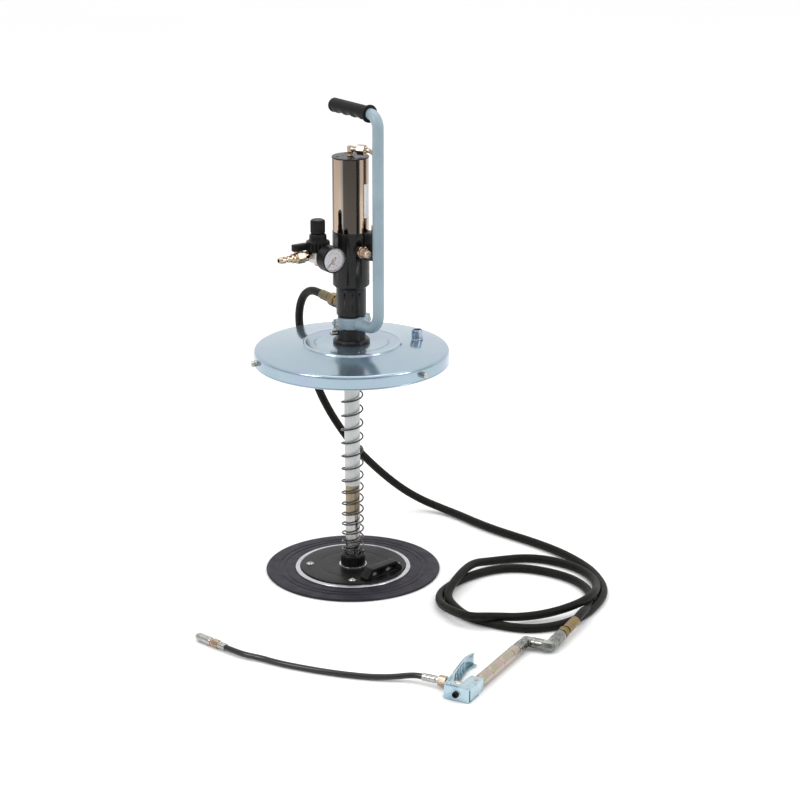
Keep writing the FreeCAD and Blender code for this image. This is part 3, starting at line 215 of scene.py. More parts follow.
def slab(outline, low, high, place=HERE, finish=None, corner=0, bevel=0.4):
    """A flat outline raised between two heights, with rounded corners and edges."""
    points = rounded(outline, corner, steps=6) if corner else [Vector(p) for p in outline]
    bm = bmesh.new()
    bottom = [bm.verts.new((p[0], p[1], low)) for p in points]
    face = bm.faces.new(bottom)
    raised = bmesh.ops.extrude_face_region(bm, geom=[face])
    verts = [v for v in raised["geom"] if isinstance(v, bmesh.types.BMVert)]
    bmesh.ops.translate(bm, verts=verts, vec=(0, 0, high - low))
    if bevel:
        edges = [e for e in bm.edges if len(e.link_faces) == 2 and e.calc_face_angle(0) > radians(40)]
        bmesh.ops.bevel(bm, geom=edges, offset=bevel, segments=3, affect="EDGES", profile=0.5)
    return finish_mesh(bm, place, finish)


def sweep(points, radius, finish, segments, sharp=50):
    """A tube round a line of points, carried along without twist."""
    points = [Vector(p) for p in points]
    bm = bmesh.new()
    tangent = (points[1] - points[0]).normalized()
    side = tangent.orthogonal().normalized()
    rows = []
    for i, point in enumerate(points):
        ahead = (points[min(i + 1, len(points) - 1)] - points[max(i - 1, 0)]).normalized()
        side = (side - ahead * side.dot(ahead)).normalized()
        other = ahead.cross(side)
        rows.append([bm.verts.new(point + (side * cos(2 * pi * k / segments)
            + other * sin(2 * pi * k / segments)) * radius) for k in range(segments)])
    for a, b in zip(rows, rows[1:]):
        for k in range(segments):
            bm.faces.new((a[k], a[(k + 1) % segments], b[(k + 1) % segments], b[k]))
    bm.faces.new(rows[0][::-1])
    bm.faces.new(rows[-1])
    return finish_mesh(bm, HERE, finish, sharp)


def wear(name, things, slot, *nodes, body="pump"):
    """Pieces joined as one that rides on a body and stands for the CAD nodes given."""
    piece = things[0]
    if len(things) > 1:
        bpy.ops.object.select_all(action="DESELECT")
        for thing in things:
            thing.select_set(True)
        bpy.context.view_layer.objects.active = piece
        bpy.ops.object.join()
    piece.name = name
    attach(piece, body)
    if nodes:
        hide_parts(*nodes)
    return piece


# --- materials ---
MAT = {}


def tree_of(name):
    """A new material under its name in MAT: its nodes, links and shader."""
    MAT[name] = bpy.data.materials.new(name)
    MAT[name].use_nodes = True
    tree = MAT[name].node_tree
    return tree.nodes, tree.links, tree.nodes["Principled BSDF"]


def put(node, **values):
    """Set a node's inputs by name, with an underscore for each space."""
    for name, value in values.items():
        node.inputs[name.replace("_", " ")].default_value = value


def noise(nodes, links, scale, detail=4, stretch=None):
    """A noise texture in object space, stretched along one or more axes if asked."""
    coords = nodes.new("ShaderNodeTexCoord")
    mapping = nodes.new("ShaderNodeMapping")
    links.new(coords.outputs["Object"], mapping.inputs["Vector"])
    if stretch:
        put(mapping, Scale=stretch)
    texture = nodes.new("ShaderNodeTexNoise")
    put(texture, Scale=scale, Detail=detail)
    links.new(mapping.outputs["Vector"], texture.inputs["Vector"])
    return texture.outputs["Fac"]


def ramp(nodes, links, source, stops):
    blend = nodes.new("ShaderNodeValToRGB")
    links.new(source, blend.inputs["Fac"])
    elements = blend.color_ramp.elements
    while len(elements) < len(stops):
        elements.new(0.5)
    for element, (place, value) in zip(elements, stops):
        element.position = place
        colour = value if isinstance(value, tuple) else (value, value, value)
        element.color = (*colour, 1)
    return blend.outputs["Color"]


def bump(nodes, links, shader, height, strength, distance):
    relief = nodes.new("ShaderNodeBump")
    put(relief, Strength=strength, Distance=distance)
    links.new(height, relief.inputs["Height"])
    links.new(relief.outputs["Normal"], shader.inputs["Normal"])


def surface(name, dark, light, rough=(0.3, 0.45), metal=0, scale=60, grain=900, relief=0.15, depth=0.00005,
        stretch=None, coat=0, specular=0.5):
    """A finish with colour mottle, uneven gloss and fine grain."""
    nodes, links, shader = tree_of(name)
    mottle = noise(nodes, links, scale, 5, stretch)
    links.new(ramp(nodes, links, mottle, [(0.3, dark), (0.7, light)]), shader.inputs["Base Color"])
    patch = noise(nodes, links, scale * 2.7, 3, stretch)
    links.new(ramp(nodes, links, patch, [(0.3, rough[0]), (0.75, rough[1])]), shader.inputs["Roughness"])
    put(shader, Metallic=metal, Specular_IOR_Level=specular)
    if coat:
        put(shader, Coat_Weight=coat, Coat_Roughness=0.15)
    fine = noise(nodes, links, grain, 2, stretch)
    bump(nodes, links, shader, fine, relief, depth)


def zinc(name, base, violet, yellow, scale=14, rough=(0.22, 0.36), stretch=None):
    """Zinc plating: pale blue metal with drifting violet and straw tints."""
    nodes, links, shader = tree_of(name)
    drift = noise(nodes, links, scale, 3, stretch)
    colours = ramp(nodes, links, drift, [(0.3, violet), (0.48, base), (0.6, base), (0.78, yellow)])
    links.new(colours, shader.inputs["Base Color"])
    patch = noise(nodes, links, scale * 6, 5, stretch)
    links.new(ramp(nodes, links, patch, [(0.3, rough[0]), (0.7, rough[1])]), shader.inputs["Roughness"])
    put(shader, Metallic=0.85)
    fine = noise(nodes, links, 700, 3, stretch)
    bump(nodes, links, shader, fine, 0.12, 0.00004)


def chrome_painted_reflections():
    """Bright plating with dark and beige bands drawn along the barrel: painted reflections, set by the
    angle round the pump's axis.
    """
    nodes, links, shader = tree_of("chrome")
    coords = nodes.new("ShaderNodeTexCoord")
    round_z = nodes.new("ShaderNodeTexGradient")
    round_z.gradient_type = "RADIAL"
    links.new(coords.outputs["Object"], round_z.inputs["Vector"])
    # Painted reflection colours: the dark, beige and grey bands below stand in for the studio mirrored in
    # the plating, fixed by angle round the axis.
    dark, beige, grey = (0.075, 0.063, 0.054), (0.46, 0.35, 0.27), (0.3, 0.28, 0.26)
    painted_reflection_bands = ramp(nodes, links, round_z.outputs["Fac"], [(0, dark), (0.068, dark), (0.08, beige),
        (0.16, beige), (0.172, grey), (0.18, grey), (0.19, dark), (0.332, dark), (0.344, beige),
        (0.382, beige), (0.392, dark), (0.412, dark), (0.424, beige), (0.47, beige), (0.485, dark),
        (0.65, dark), (0.665, beige), (0.74, beige), (0.755, grey), (0.84, grey), (0.86, beige),
        (0.94, beige), (0.955, dark)])
    links.new(painted_reflection_bands, shader.inputs["Base Color"])
    patch = noise(nodes, links, 30, 3, (1, 1, 0.2))
    links.new(ramp(nodes, links, patch, [(0.3, 0.06), (0.75, 0.12)]), shader.inputs["Roughness"])
    put(shader, Metallic=1)
    fine = noise(nodes, links, 500, 2, (1, 1, 0.2))
    bump(nodes, links, shader, fine, 0.03, 0.00002)


def make_materials():
    chrome_painted_reflections()
    surface("black_anodised", 0.004, 0.009, (0.26, 0.38), 0, 50, 1400, 0.1, 0.00003, specular=0.3)
    zinc("blue_zinc", (0.33, 0.43, 0.5), (0.35, 0.39, 0.52), (0.38, 0.47, 0.5), 14, (0.13, 0.21))
    zinc("gun_zinc", (0.42, 0.55, 0.61), (0.26, 0.4, 0.48), (0.54, 0.63, 0.66), 45, (0.14, 0.28))
    surface("forged", (0.15, 0.16, 0.15), (0.3, 0.3, 0.28), (0.12, 0.24), 1, 90, 900, 0.1, 0.00004)
    surface("bright_steel", (0.36, 0.36, 0.34), (0.5, 0.49, 0.47), (0.14, 0.26), 1, 80, 900, 0.08, 0.00003)
    zinc("tube_plate", (0.4, 0.36, 0.28), (0.48, 0.34, 0.35), (0.34, 0.31, 0.21), 40, (0.12, 0.24))
    surface("nickel", (0.36, 0.27, 0.19), (0.52, 0.41, 0.31), (0.08, 0.18), 1, 70, 700, 0.05, 0.00002)
    zinc("gold_zinc", (0.23, 0.16, 0.07), (0.17, 0.13, 0.08), (0.34, 0.2, 0.08), 60, (0.24, 0.4))
    zinc("olive_zinc", (0.16, 0.13, 0.07), (0.11, 0.09, 0.06), (0.24, 0.19, 0.1), 60, (0.3, 0.46))
    surface("brass", (0.42, 0.27, 0.09), (0.54, 0.37, 0.15), (0.2, 0.32), 1)
    surface("bronze", (0.2, 0.165, 0.12), (0.32, 0.26, 0.19), (0.22, 0.38), 1, 60, 600, 0.1, 0.00003,
        (1, 1, 0.25))
    surface("sinter", (0.4, 0.29, 0.2), (0.66, 0.52, 0.4), (0.35, 0.55), 0.9, 900, 1800, 0.8, 0.0002)
    surface("grey_paint", (0.44, 0.45, 0.45), (0.54, 0.55, 0.55), (0.26, 0.38), 0.45, 30, 900, 0.1,
        0.00003, (1, 1, 0.3))
    surface("handle_paint", (0.21, 0.285, 0.33), (0.25, 0.335, 0.385), (0.3, 0.42), 0, 22, 700, 0.12,
        0.00006, coat=0.2)
    surface("grip_rubber", 0.003, 0.007, (0.4, 0.55), 0, 90, 1500, 0.3, 0.0001, specular=0.15)
    surface("hose_rubber", (0.004, 0.004, 0.003), (0.01, 0.009, 0.007), (0.42, 0.58), 0, 140, 1300, 0.4,
        0.00012, specular=0.12)
    surface("short_hose", 0.003, 0.007, (0.12, 0.22), 0, 120, 900, 0.12, 0.00004)
    surface("follower_rubber", (0.01, 0.008, 0.014), (0.022, 0.019, 0.03), (0.38, 0.54), 0, 18, 900, 0.2,
        0.00008, specular=0.15)
    surface("black_plastic", 0.004, 0.009, (0.28, 0.42), 0, 90, 1600, 0.18, 0.00005, specular=0.15)
    surface("alloy", 0.5, 0.64, (0.3, 0.42), 0.6)
    surface("pale_ring", (0.44, 0.43, 0.47), (0.6, 0.59, 0.63), (0.14, 0.26), 0.9)
    surface("dark_steel", (0.05, 0.048, 0.045), (0.12, 0.115, 0.11), (0.2, 0.34), 1, 150)
    surface("copper", (0.55, 0.3, 0.22), (0.68, 0.4, 0.3), (0.2, 0.3), 1)
    surface("dial", (0.7, 0.68, 0.7), (0.8, 0.78, 0.8), (0.4, 0.5))
    surface("dial_ink", 0.01, 0.03, (0.4, 0.5))
    surface("dial_red", (0.6, 0.1, 0.14), (0.7, 0.15, 0.2), (0.4, 0.5))
    surface("dial_blue", (0.07, 0.12, 0.45), (0.1, 0.17, 0.55), (0.4, 0.5))
    surface("hub_brass", (0.55, 0.25, 0.05), (0.7, 0.36, 0.08), (0.3, 0.4), 0.5)
    surface("label", (0.62, 0.63, 0.66), (0.72, 0.73, 0.76), (0.35, 0.5))
    # Near-black for the insides of holes and slots: painted shade.
    surface("hole", 0.002, 0.005, (0.6, 0.8))
    nodes, links, shader = tree_of("glass")
    put(shader, Base_Color=(0.97, 0.98, 1, 1), Roughness=0.03, IOR=1.45, Transmission_Weight=1)
    smear = noise(nodes, links, 120, 2)
    bump(nodes, links, shader, smear, 0.02, 0.00001)


# --- stage, light and camera ---
FLOOR_HALF = 45000


def stage_and_light():
    nodes, links, shader = tree_of("floor_paper")
    tint = noise(nodes, links, 0.7, 2)
    links.new(ramp(nodes, links, tint, [(0.2, 0.9), (0.8, 0.93)]), shader.inputs["Base Color"])
    put(shader, Roughness=0.8)
    bm = bmesh.new()
    bmesh.ops.create_grid(bm, x_segments=2, y_segments=2, size=FLOOR_HALF)
    plane = finish_mesh(bm, at(0, 0, -0.4), "floor_paper")
    plane.name = "floor"

    world = bpy.data.worlds.new("studio")
    world.use_nodes = True
    bpy.context.scene.world = world
    nodes, links = world.node_tree.nodes, world.node_tree.links
    coords = nodes.new("ShaderNodeTexCoord")
    split = nodes.new("ShaderNodeSeparateXYZ")
    links.new(coords.outputs["Generated"], split.inputs["Vector"])
    overhead = ramp(nodes, links, split.outputs["Z"], [(0, 0.18), (0.3, 0.42), (0.62, 1)])
    width = nodes.new("ShaderNodeMath")
    width.operation = "ABSOLUTE"
    links.new(split.outputs["X"], width.inputs[0])
    sides = ramp(nodes, links, width.outputs[0], [(0.4, 0), (0.74, 0.85), (1, 0.55)])
    behind = ramp(nodes, links, split.outputs["Y"], [(0, 0), (0.45, 0.95)])
    shade = sides
    for other in (overhead, behind):
        brighter = nodes.new("ShaderNodeMath")
        brighter.operation = "MAXIMUM"
        links.new(shade, brighter.inputs[0])
        links.new(other, brighter.inputs[1])
        shade = brighter.outputs[0]
    background = nodes["Background"]
    links.new(shade, background.inputs["Color"])
    put(background, Strength=1.15)

    def panel(name, place, target, width, height, power):
        data = bpy.data.lights.new(name, "AREA")
        data.shape = "RECTANGLE"
        data.size = width
        data.size_y = height
        data.energy = power
        lamp = bpy.data.objects.new(name, data)
        bpy.context.collection.objects.link(lamp)
        lamp.location = place
        aim = Vector(target) - Vector(place)
        lamp.rotation_euler = aim.to_track_quat("-Z", "Y").to_euler()

    panel("key", (-2.4, -1.8, 2.6), (0, 0, 0.4), 1, 1.6, 34)
    panel("fill", (2.6, -1.2, 1.8), (0, 0, 0.5), 0.7, 2, 20)
    panel("top", (0.2, 0.4, 3.4), (0.1, 0, 0.2), 2.6, 2.6, 26)


def camera():
    data = bpy.data.cameras.new("camera")
    data.sensor_width = 36
    data.lens = 103.4
    thing = bpy.data.objects.new("camera", data)
    bpy.context.collection.objects.link(thing)
    thing.location = (0.08627, -3.92455, 1.60599)
    thing.rotation_euler = (radians(71.929), 0, 0)
    data.clip_end = 60
    bpy.context.scene.camera = thing
    bpy.context.scene.view_settings.view_transform = "Standard"


# --- bent pieces ---
def bent(points, bends, step=2):
    """Points along straight runs joined by arcs of the given radii."""
    points = [Vector(p) for p in points]
    line = [points[0]]
    for before, corner, after, radius in zip(points, points[1:], points[2:], bends):
        arrive = (corner - before).normalized()
        leave = (after - corner).normalized()
        half = arrive.angle(leave) / 2
        setback = radius * tan(half)
        first = corner - arrive * setback
        inward = (leave - arrive).normalized()
        centre = corner + inward * (radius / cos(half))
        count = max(4, int(radius * half * 2 / step))
        axis = arrive.cross(leave).normalized()
        for k in range(count + 1):
            turn = Matrix.Rotation(2 * half * k / count, 3, axis)
            line.append(centre + turn @ (first - centre))
    line.append(points[-1])
    return line


def spline_cord(name, points, radius, finish, *nodes):
    """A hose on the pump: an open NURBS curve of round section through control points."""
    curve = bpy.data.curves.new(name, "CURVE")
    curve.dimensions = "3D"
    curve.bevel_depth = radius * MM
    curve.bevel_resolution = 8
    curve.resolution_u = 10
    line = curve.splines.new("NURBS")
    line.points.add(len(points) - 1)
    for point, (x, y, z) in zip(line.points, points):
        point.co = (x * MM, y * MM, z * MM, 1)
    line.order_u = 3
    line.use_endpoint_u = True
    curve.materials.append(MAT[finish])
    thing = bpy.data.objects.new(name, curve)
    bpy.context.collection.objects.link(thing)
    return wear(name, [thing], "hose_rubber", *nodes)


def carve(thing, tools):
    """Take tools away from a piece and keep the result as its mesh."""
    for tool in tools:
        cutting = thing.modifiers.new("cut", "BOOLEAN")
        cutting.operation = "DIFFERENCE"
        cutting.solver = "EXACT"
        cutting.object = tool
    bpy.context.view_layer.update()
    graph = bpy.context.evaluated_depsgraph_get()
    mesh = bpy.data.meshes.new_from_object(thing.evaluated_get(graph))
    thing.modifiers.clear()
    thing.data = mesh
    for tool in tools:
        bpy.data.objects.remove(tool)
    return thing


def rod(radius, length, place, finish=None):
    return lathe(oblong(0, radius, 0, length), place, finish, 0.2, 32)


def flutes(count, depth, low, high, sharpness=1):
    """A radius change that cuts upright flutes between two heights."""
    def wave(angle, radius, height):
        if not low < height < high or radius < 4:
            return radius
        ripple = 0.5 + 0.5 * cos(count * angle)
        return radius - depth * ripple ** sharpness
    return wave


# --- hoses ---
def hoses():
    lead = [(-54.3, 88.7, 498), (-62, 101.3, 498), (-71.5, 117, 497.2), (-81, 132.5, 492),
        (-89.5, 146, 481.5), (-96, 156, 466), (-100, 164, 446), (-101, 175, 418), (-96.5, 187, 385),
        (-87, 198, 345), (-67, 209, 275), (-39, 220, 215), (-4, 240, 156), (42, 267, 98), (86, 289, 52),
        (127, 298.5, 23), (166, 287, 10), (201, 254, 7.7), (240, 205, 7.7), (281, 162, 7.7),
        (332, 117, 7.7), (380, 67, 7.7), (417, 12, 7.7)]
    turns = [(442, -45, 7.7), (454, -120, 7.7), (438, -179, 7.7), (405, -240, 7.7), (363, -279, 7.7),
        (308, -295, 7.7), (256, -278, 7.7), (205, -243, 7.7), (182, -199, 7.7), (169, -160, 11),
        (178, -126, 19), (196, -80, 22.5), (211, -46, 22.5), (226, -22, 20), (246, 0, 13), (275, 20, 8.5),
        (310, 31, 7.7), (345, 28, 7.7), (382, 10, 7.7), (420, -27, 7.7), (439, -78, 9), (438, -130, 15),
        (428, -175, 23.5), (405, -215, 23.5), (353, -240, 15), (298, -252, 11), (245, -272, 21.5),
        (204, -275, 22), (172, -228, 15), (154, -180, 10), (160, -125, 7.7), (201, -66, 7.7),
        (254, -24, 7.7), (309, -15, 7.7), (364, -39, 7.7), (404, -75, 7.7), (425, -124, 7.7),
        (423, -174, 7.7), (414, -215, 11), (402, -250, 21), (388.4, -282, 18)]
    route = lead + turns
    hose = spline_cord("hose_long", route, 7.5, "hose_rubber", "main_hose", "hose_coil")
    ends = hose_ferrules()

    short = [(123.5, -495.9, 12), (114.7, -491.2, 12), (100, -488, 10.5), (75.7, -487.5, 7.5),
        (46, -484, 5.6), (17, -478, 5.2), (-13, -470, 5.2), (-42.2, -460, 5.2), (-72, -448, 5.2),
        (-102.3, -434.5, 5.2), (-125, -422, 5.3), (-146, -409, 5.8), (-170, -400, 6.8),
        (-189, -387.5, 7.5), (-207.1, -370.8, 7.5)]
    thin = spline_cord("hose_short", short, 5, "short_hose", "short_hose")
    pieces = short_hose_ends()


def hose_ferrules():
    """Crimped, yellow-chromated ends of the long hose."""
    first = lathe([(0, 72), (6.6, 72), (7.2, 73), (7.2, 75), (8.8, 76), (8.8, 79.5), (8.3, 80.2),
        (8.3, 82.4), (8.8, 83.2), (8.8, 88), (8.3, 88.8), (8.3, 91), (8.8, 91.8), (8.8, 96.6), (8.3, 97.4),
        (8.3, 99.4), (8.8, 100.2), (8.8, 103.2), (7.9, 104), (0, 104)], outward(OUTLET, OUTLET_LEVEL),
        "olive_zinc", 0.4)
    collar = lathe(oblong(0, 6.9, 46.6, 48.2), HOSE_END, "gold_zinc", 0.2)
    nut = hexagon(19, 48, 60, HOSE_END, "gold_zinc")
    stem = lathe([(0, 59.5), (7.6, 59.5), (7.6, 63.5), (6.4, 64.2), (6.4, 67.2), (0, 67.2)], HOSE_END,
        "gold_zinc", 0.3)
    last = lathe([(0, 67), (8.2, 67), (8.8, 68), (8.8, 73), (8.3, 73.8), (8.3, 76), (8.8, 76.8),
        (8.8, 82.5), (8.3, 83.3), (8.3, 85.5), (8.8, 86.3), (8.8, 92), (8.3, 92.8), (8.3, 95), (8.8, 95.8),
        (8.8, 105), (7.9, 106), (0, 106)], HOSE_END, "gold_zinc", 0.4)
    return [wear("hose_ends", [first, collar, nut, stem, last], "gold_zinc", "hose_ferrules")]


def short_hose_ends():
    """Port fitting and ferrules of the short hose, and its grease coupler."""
    port = gun_facing(-207, 0, GUN_AXIS, (0, 1, 0))
    thread = lathe(oblong(0, 6, 14, 45.6), port, "nickel", 0.3)
    nut = hexagon(17, 46, 60, port, "nickel")
    neck = lathe([(0, 60), (7.2, 60), (7.2, 61.2), (4.8, 62), (4.8, 64.4), (5.8, 65.2), (6.5, 66.5),
        (6.5, 71.5), (6, 72.2), (6, 74.4), (6.5, 75.2), (6.5, 80.6), (6, 81.4), (6, 83.6), (6.5, 84.4),
        (6.5, 89), (5.9, 90), (0, 90)], port, "bright_steel", 0.3)
    ferrule = lathe([(0, 56.2), (6.5, 56.2), (6.5, 60), (6, 60.7), (6, 62.6), (6.5, 63.3), (6.5, 66.8),
        (6, 67.5), (6, 68.6), (6.5, 69.2), (6.5, 71.2), (5.9, 72), (0, 72)], NOSE, "bright_steel", 0.3)
    ends = wear("short_hose_ends", [thread, nut, neck, ferrule], "nickel", "short_fittings")
    body = lathe([(0, 18), (4.9, 18), (4.9, 38.2), (6.4, 38.6), (6.4, 41), (7, 41.6), (7, 42.4),
        (0, 42.4)], NOSE, "copper", 0.2)
    flats = hexagon(14, 42, 55, NOSE, "nickel")
    tail = lathe([(0, 54.8), (6.2, 54.8), (5, 56.2), (0, 56.2)], NOSE, "nickel", 0.2)
    jaws = []
    for i in range(4):
        arc = [90 * i + 8 + 74 * k / 8 for k in range(9)]
        outline = [polar(4.85, a) for a in arc] + [polar(3, a) for a in arc[::-1]]
        jaws.append(slab(outline, 4.4, 17.6, NOSE, "bright_steel", bevel=0.2))
    coupler = wear("coupler_core", [body, flats, tail] + jaws, "nickel", "coupler_body")
    sleeve = lathe([(3.4, 0), (4.6, 0), (6.7, 4.6), (7.3, 6), (7.4, 8), (7.4, 15), (6.9, 15.6), (6.9, 17),
        (7.4, 17.6), (7.4, 34.5), (7, 35.2), (7, 36.2), (6.7, 37.6), (5.1, 37.6), (5.1, 4.2), (3.4, 4.2)],
        NOSE, "bright_steel", 0.25, 120, flutes(40, 0.22, 19, 33, 0.6))
    shell = wear("coupler_shell", [sleeve], "nickel", "coupler_sleeve", body="sleeve")
    return [ends, coupler, shell]


# --- air motor ---
def spanner_pits(radius, level, azimuths, depth=3, width=2.2):
    return [rod(width, depth * 2, outward(a, level, direction(a) * (radius - depth)), "hole")
        for a in azimuths]


def air_motor():
    barrel_low = level_of("motor_cylinder", False)
    barrel_top = level_of("motor_cylinder")
    barrel = lathe(oblong(29, 32.1, barrel_low, barrel_top), HERE, "chrome", 0.3, 160)
    bm = bmesh.new()
    label_levels = (665, 666, 724, 725)
    rows = []
    for k in range(17):
        angle = radians(-42 + 34 * k / 16)
        rows.append([bm.verts.new((32.2 * cos(angle), 32.2 * sin(angle), z)) for z in label_levels])
    for a, b in zip(rows, rows[1:]):
        for i in range(3):
            bm.faces.new((a[i], b[i], b[i + 1], a[i + 1]))
    label = finish_mesh(bm, finish="label")
    wear("motor_barrel", [barrel, label], "chrome", "motor_cylinder")

    cap = lathe([(0, barrel_top - 8), (28.9, barrel_top - 8), (28.9, barrel_top), (32, barrel_top),
        (32.8, barrel_top + 0.5), (32.8, barrel_top + 1.9), (32.1, barrel_top + 2.6),
        (8.2, barrel_top + 2.6), (7.8, barrel_top + 2.2), (0, barrel_top + 2.2)], HERE, "black_anodised",
        0.3, 128)
    pits = [rod(2.4, 6, at(*polar(24, a), barrel_top - 1), "hole") for a in (20, 110, 200, 290)]
    wear("motor_lid", [carve(cap, pits)], "black_anodised", "motor_cap")

    low = level_of("motor_base", False)
    base = lathe([(12, low), (27.4, low), (32.6, low + 5), (32.6, barrel_low - 0.6), (32, barrel_low),
        (29, barrel_low), (29, barrel_low + 10), (6, barrel_low + 10), (6, low + 10), (12, low + 10)],
        HERE, "black_anodised", 0.5, 128)
    pits = spanner_pits(32.6, low + 13, (-98, -18, 62, 142))
    threads = ((INLET, AIR_LEVEL), (EXHAUST, EXHAUST_LEVEL))
    ports = [rod(6, 30, outward(a, z, direction(a) * 20), "hole") for a, z in threads]
    wear("motor_bottom", [carve(base, pits + ports)], "black_anodised", "motor_base")

    body = lathe([(14, 462.3), (21, 462.3), (21.5, 463), (21.5, 484.3), (23.5, 484.3), (26.5, 487.3),
        (26.5, low - 3.4), (25.9, low - 2.8), (25.9, low - 1.6), (26.5, low - 1), (26.5, low - 0.4),
        (26.1, low), (12, low), (12, low - 10), (10, low - 10), (10, 488.3), (14, 488.3)], HERE,
        "black_anodised", 0.5, 128)
    pits = spanner_pits(26.5, low - 9, (-115, -83, -55, 5, 65, 185), 3, 1.8)
    hole = [rod(6, 22, outward(OUTLET, OUTLET_LEVEL, direction(OUTLET) * 8), "hole")]
    wear("outlet_turned", [carve(body, pits + hole)], "black_anodised", "outlet_body")


def valve_and_transfer():
    out = direction(TRANSFER)
    face = facing(ORIGIN, out)
    low, high = level_of("valve_block", False), level_of("valve_block")
    block = slab(oblong(low, high, -12, 12), 31.5, 52, face, "black_anodised", 2.5, 0.8)
    hollow = rod(32.6, high - low + 20, at(0, 0, low - 10))
    carve(block, [hollow])
    screws = []
    for z, y in ((low + 6, -7.5), (low + 6, 7.5), (high - 6, -7.5), (high - 6, 7.5)):
        place = facing(UP * z + out * 52 + face.to_3x3() @ Vector((0, y, 0)), out)
        screws.append(lathe([(0, -0.5), (2.9, -0.5), (2.9, 0.25), (1.5, 0.25), (1.5, -0.3), (0, -0.3)],
            place, "dark_steel", 0.15, 40))
    wear("valve_casting", [block] + screws, "black_anodised", "valve_block")

    cap = level_of("motor_cylinder")
    level = cap + 15
    up = lathe([(0, cap - 4), (4.9, cap - 4), (4.9, cap + 2.6), (6, cap + 2.6), (6, cap + 4.2),
        (4.9, cap + 4.8), (4.9, level - 5.4), (5.5, level - 4.8), (5.5, level + 4.2), (4.6, level + 5.4),
        (0, level + 5.4)], HERE, "nickel", 0.5, 64)
    side = lathe([(0, 0), (5, 0), (5, 8), (4.4, 8.6), (4.4, 10.4), (6, 11.5), (6, 15), (0, 15)],
        outward(TRANSFER, level), "nickel", 0.4, 64)
    top_nut = hexagon(17, 15, 29, outward(TRANSFER, level), "nickel", 3.9)
    shoulder = lathe([(4, 28.6), (6.6, 28.6), (5.2, 32.4), (4, 32.4)], outward(TRANSFER, level), "nickel",
        0.3, 64)
    reach = out * 48
    low_nut = hexagon(15, high, high + 12, at(reach.x, reach.y), "nickel", 3.9)
    wear("cap_elbow", [up, side, top_nut, shoulder, low_nut], "nickel", "cap_fittings")
    lift = UP * level
    route = bent([out * 15 + lift, reach + lift, reach + UP * high], [14])
    pipe = sweep(route, 4, "nickel", 32)
    wear("transfer_pipe", [pipe], "nickel", "transfer_tube")


def silencer():
    place = outward(EXHAUST, EXHAUST_LEVEL)
    stem = lathe(oblong(0, 5.9, 28, 36), place, "nickel")
    washer = lathe(oblong(5, 9.4, 32.7, 36.2), place, "nickel", 0.4)
    nut = hexagon(20, 36, 50, place, "nickel", 0, 1.6)
    filter_ = lathe([(0, 49.6), (7.4, 49.6), (7.4, 51.4), (6.8, 52), (6.8, 66), (5, 69.4), (2.5, 70),
        (0, 70)], place, "sinter", 0.6)
    wear("silencer_body", [stem, washer, nut, filter_], "bronze", "silencer")


# --- collar, lid, handle ---
def collar_and_lid():
    top = level_of("lid_collar")
    lid_top = level_of("lid_collar", False) + 4
    flange = lid_top + 8
    collar = lathe([(14.1, lid_top - 4), (15.9, lid_top - 4), (15.9, lid_top), (31.8, lid_top),
        (32.8, lid_top + 1), (32.8, flange - 3.6), (31.6, flange - 2.2), (29.6, flange), (25.4, flange),
        (25.4, top - 0.6), (24.8, top), (14.1, top)], HERE, "black_anodised", 0.5, 128)
    screw_at = outward(SCREW, flange + 11)
    hole = rod(3.1, 20, outward(SCREW, flange + 11, direction(SCREW) * 10))
    wear("collar_body", [carve(collar, [hole])], "black_anodised", "lid_collar")
    head = lathe([(0, 14.4), (3, 14.4), (3, 26), (5, 26), (5, 37), (4.4, 38.2), (3.6, 38.9), (0, 38.9)],
        screw_at, "bright_steel", 0.3, 96, flutes(20, 0.35, 27, 36.4, 0.7))
    wear("thumb_screw", [head], "steel", "collar_screw", body="screw")

    rim = lid_top - 11.8
    edge = rim - 24.8
    crown = rim + 1
    pan = lathe([(16, lid_top), (82.5, lid_top), (84.5, lid_top + 0.5), (87, lid_top + 0.8),
        (88.6, lid_top + 0.2), (90, lid_top - 2.5), (111, lid_top - 4.7), (134, lid_top - 7.1),
        (170, crown), (172.2, rim), (173.9, rim - 2), (174.5, rim - 5), (174.5, rim - 14),
        (174.5, edge + 3), (175, edge + 1.6), (174.2, edge + 0.2), (172.8, edge + 0.2),
        (172.4, edge + 1.6), (173, edge + 3), (173, rim - 5), (171.6, rim - 1.6), (169.7, crown - 1.6),
        (134, lid_top - 8.6), (111, lid_top - 6.2), (90.3, lid_top - 4), (88.8, lid_top - 1.8),
        (87, lid_top - 0.9), (84, lid_top - 1.5), (16, lid_top - 1.5)], HERE, "blue_zinc", 1.2, 240)
    spot = direction(SOCKET) * 122.3
    hole = rod(9.6, 16, at(spot.x, spot.y, rim - 8))
    wear("lid_pan", [carve(pan, [hole])], "blue_zinc", "lid")

    marks = []
    for start, count in ((-78, 11), (-20, 6), (150, 9)):
        for i in range(count):
            a = start + i * 6.2
            tall = 4.2 if i % 3 else 5.4
            marks.append(slab(oblong(-tall / 2, tall / 2, -1.5, 1.5), lid_top - 0.3, lid_top + 0.45,
                at(*polar(66, a), 0, a), "blue_zinc", 0.9, 0.3))
    wear("lid_embossing", marks, "blue_zinc")

    pins = [lathe([(7, rim + 1.4), (9.9, rim + 1.4), (9.9, rim + 5.4), (11.2, rim + 5.9), (11.2, rim + 7),
        (10, rim + 7.6), (10, rim + 22.8), (9.2, rim + 24), (7.8, rim + 24), (7, rim + 23.2)],
        at(spot.x, spot.y), "blue_zinc", 0.3, 72)]
    for azimuth in (198, -44, 77):
        place = outward(azimuth, rim - 12.5)
        pins.append(lathe([(0, 168), (2.5, 168), (2.5, 179), (5.5, 179.2), (5.5, 183.2), (4.6, 185),
            (0, 185)], place, "bright_steel", 0.3, 48))
        pins.append(hexagon(10, 174.6, 178.8, place, "bright_steel", 2.4, 0.6))
    wear("lid_hardware", pins, "blue_zinc", "lid_fittings")


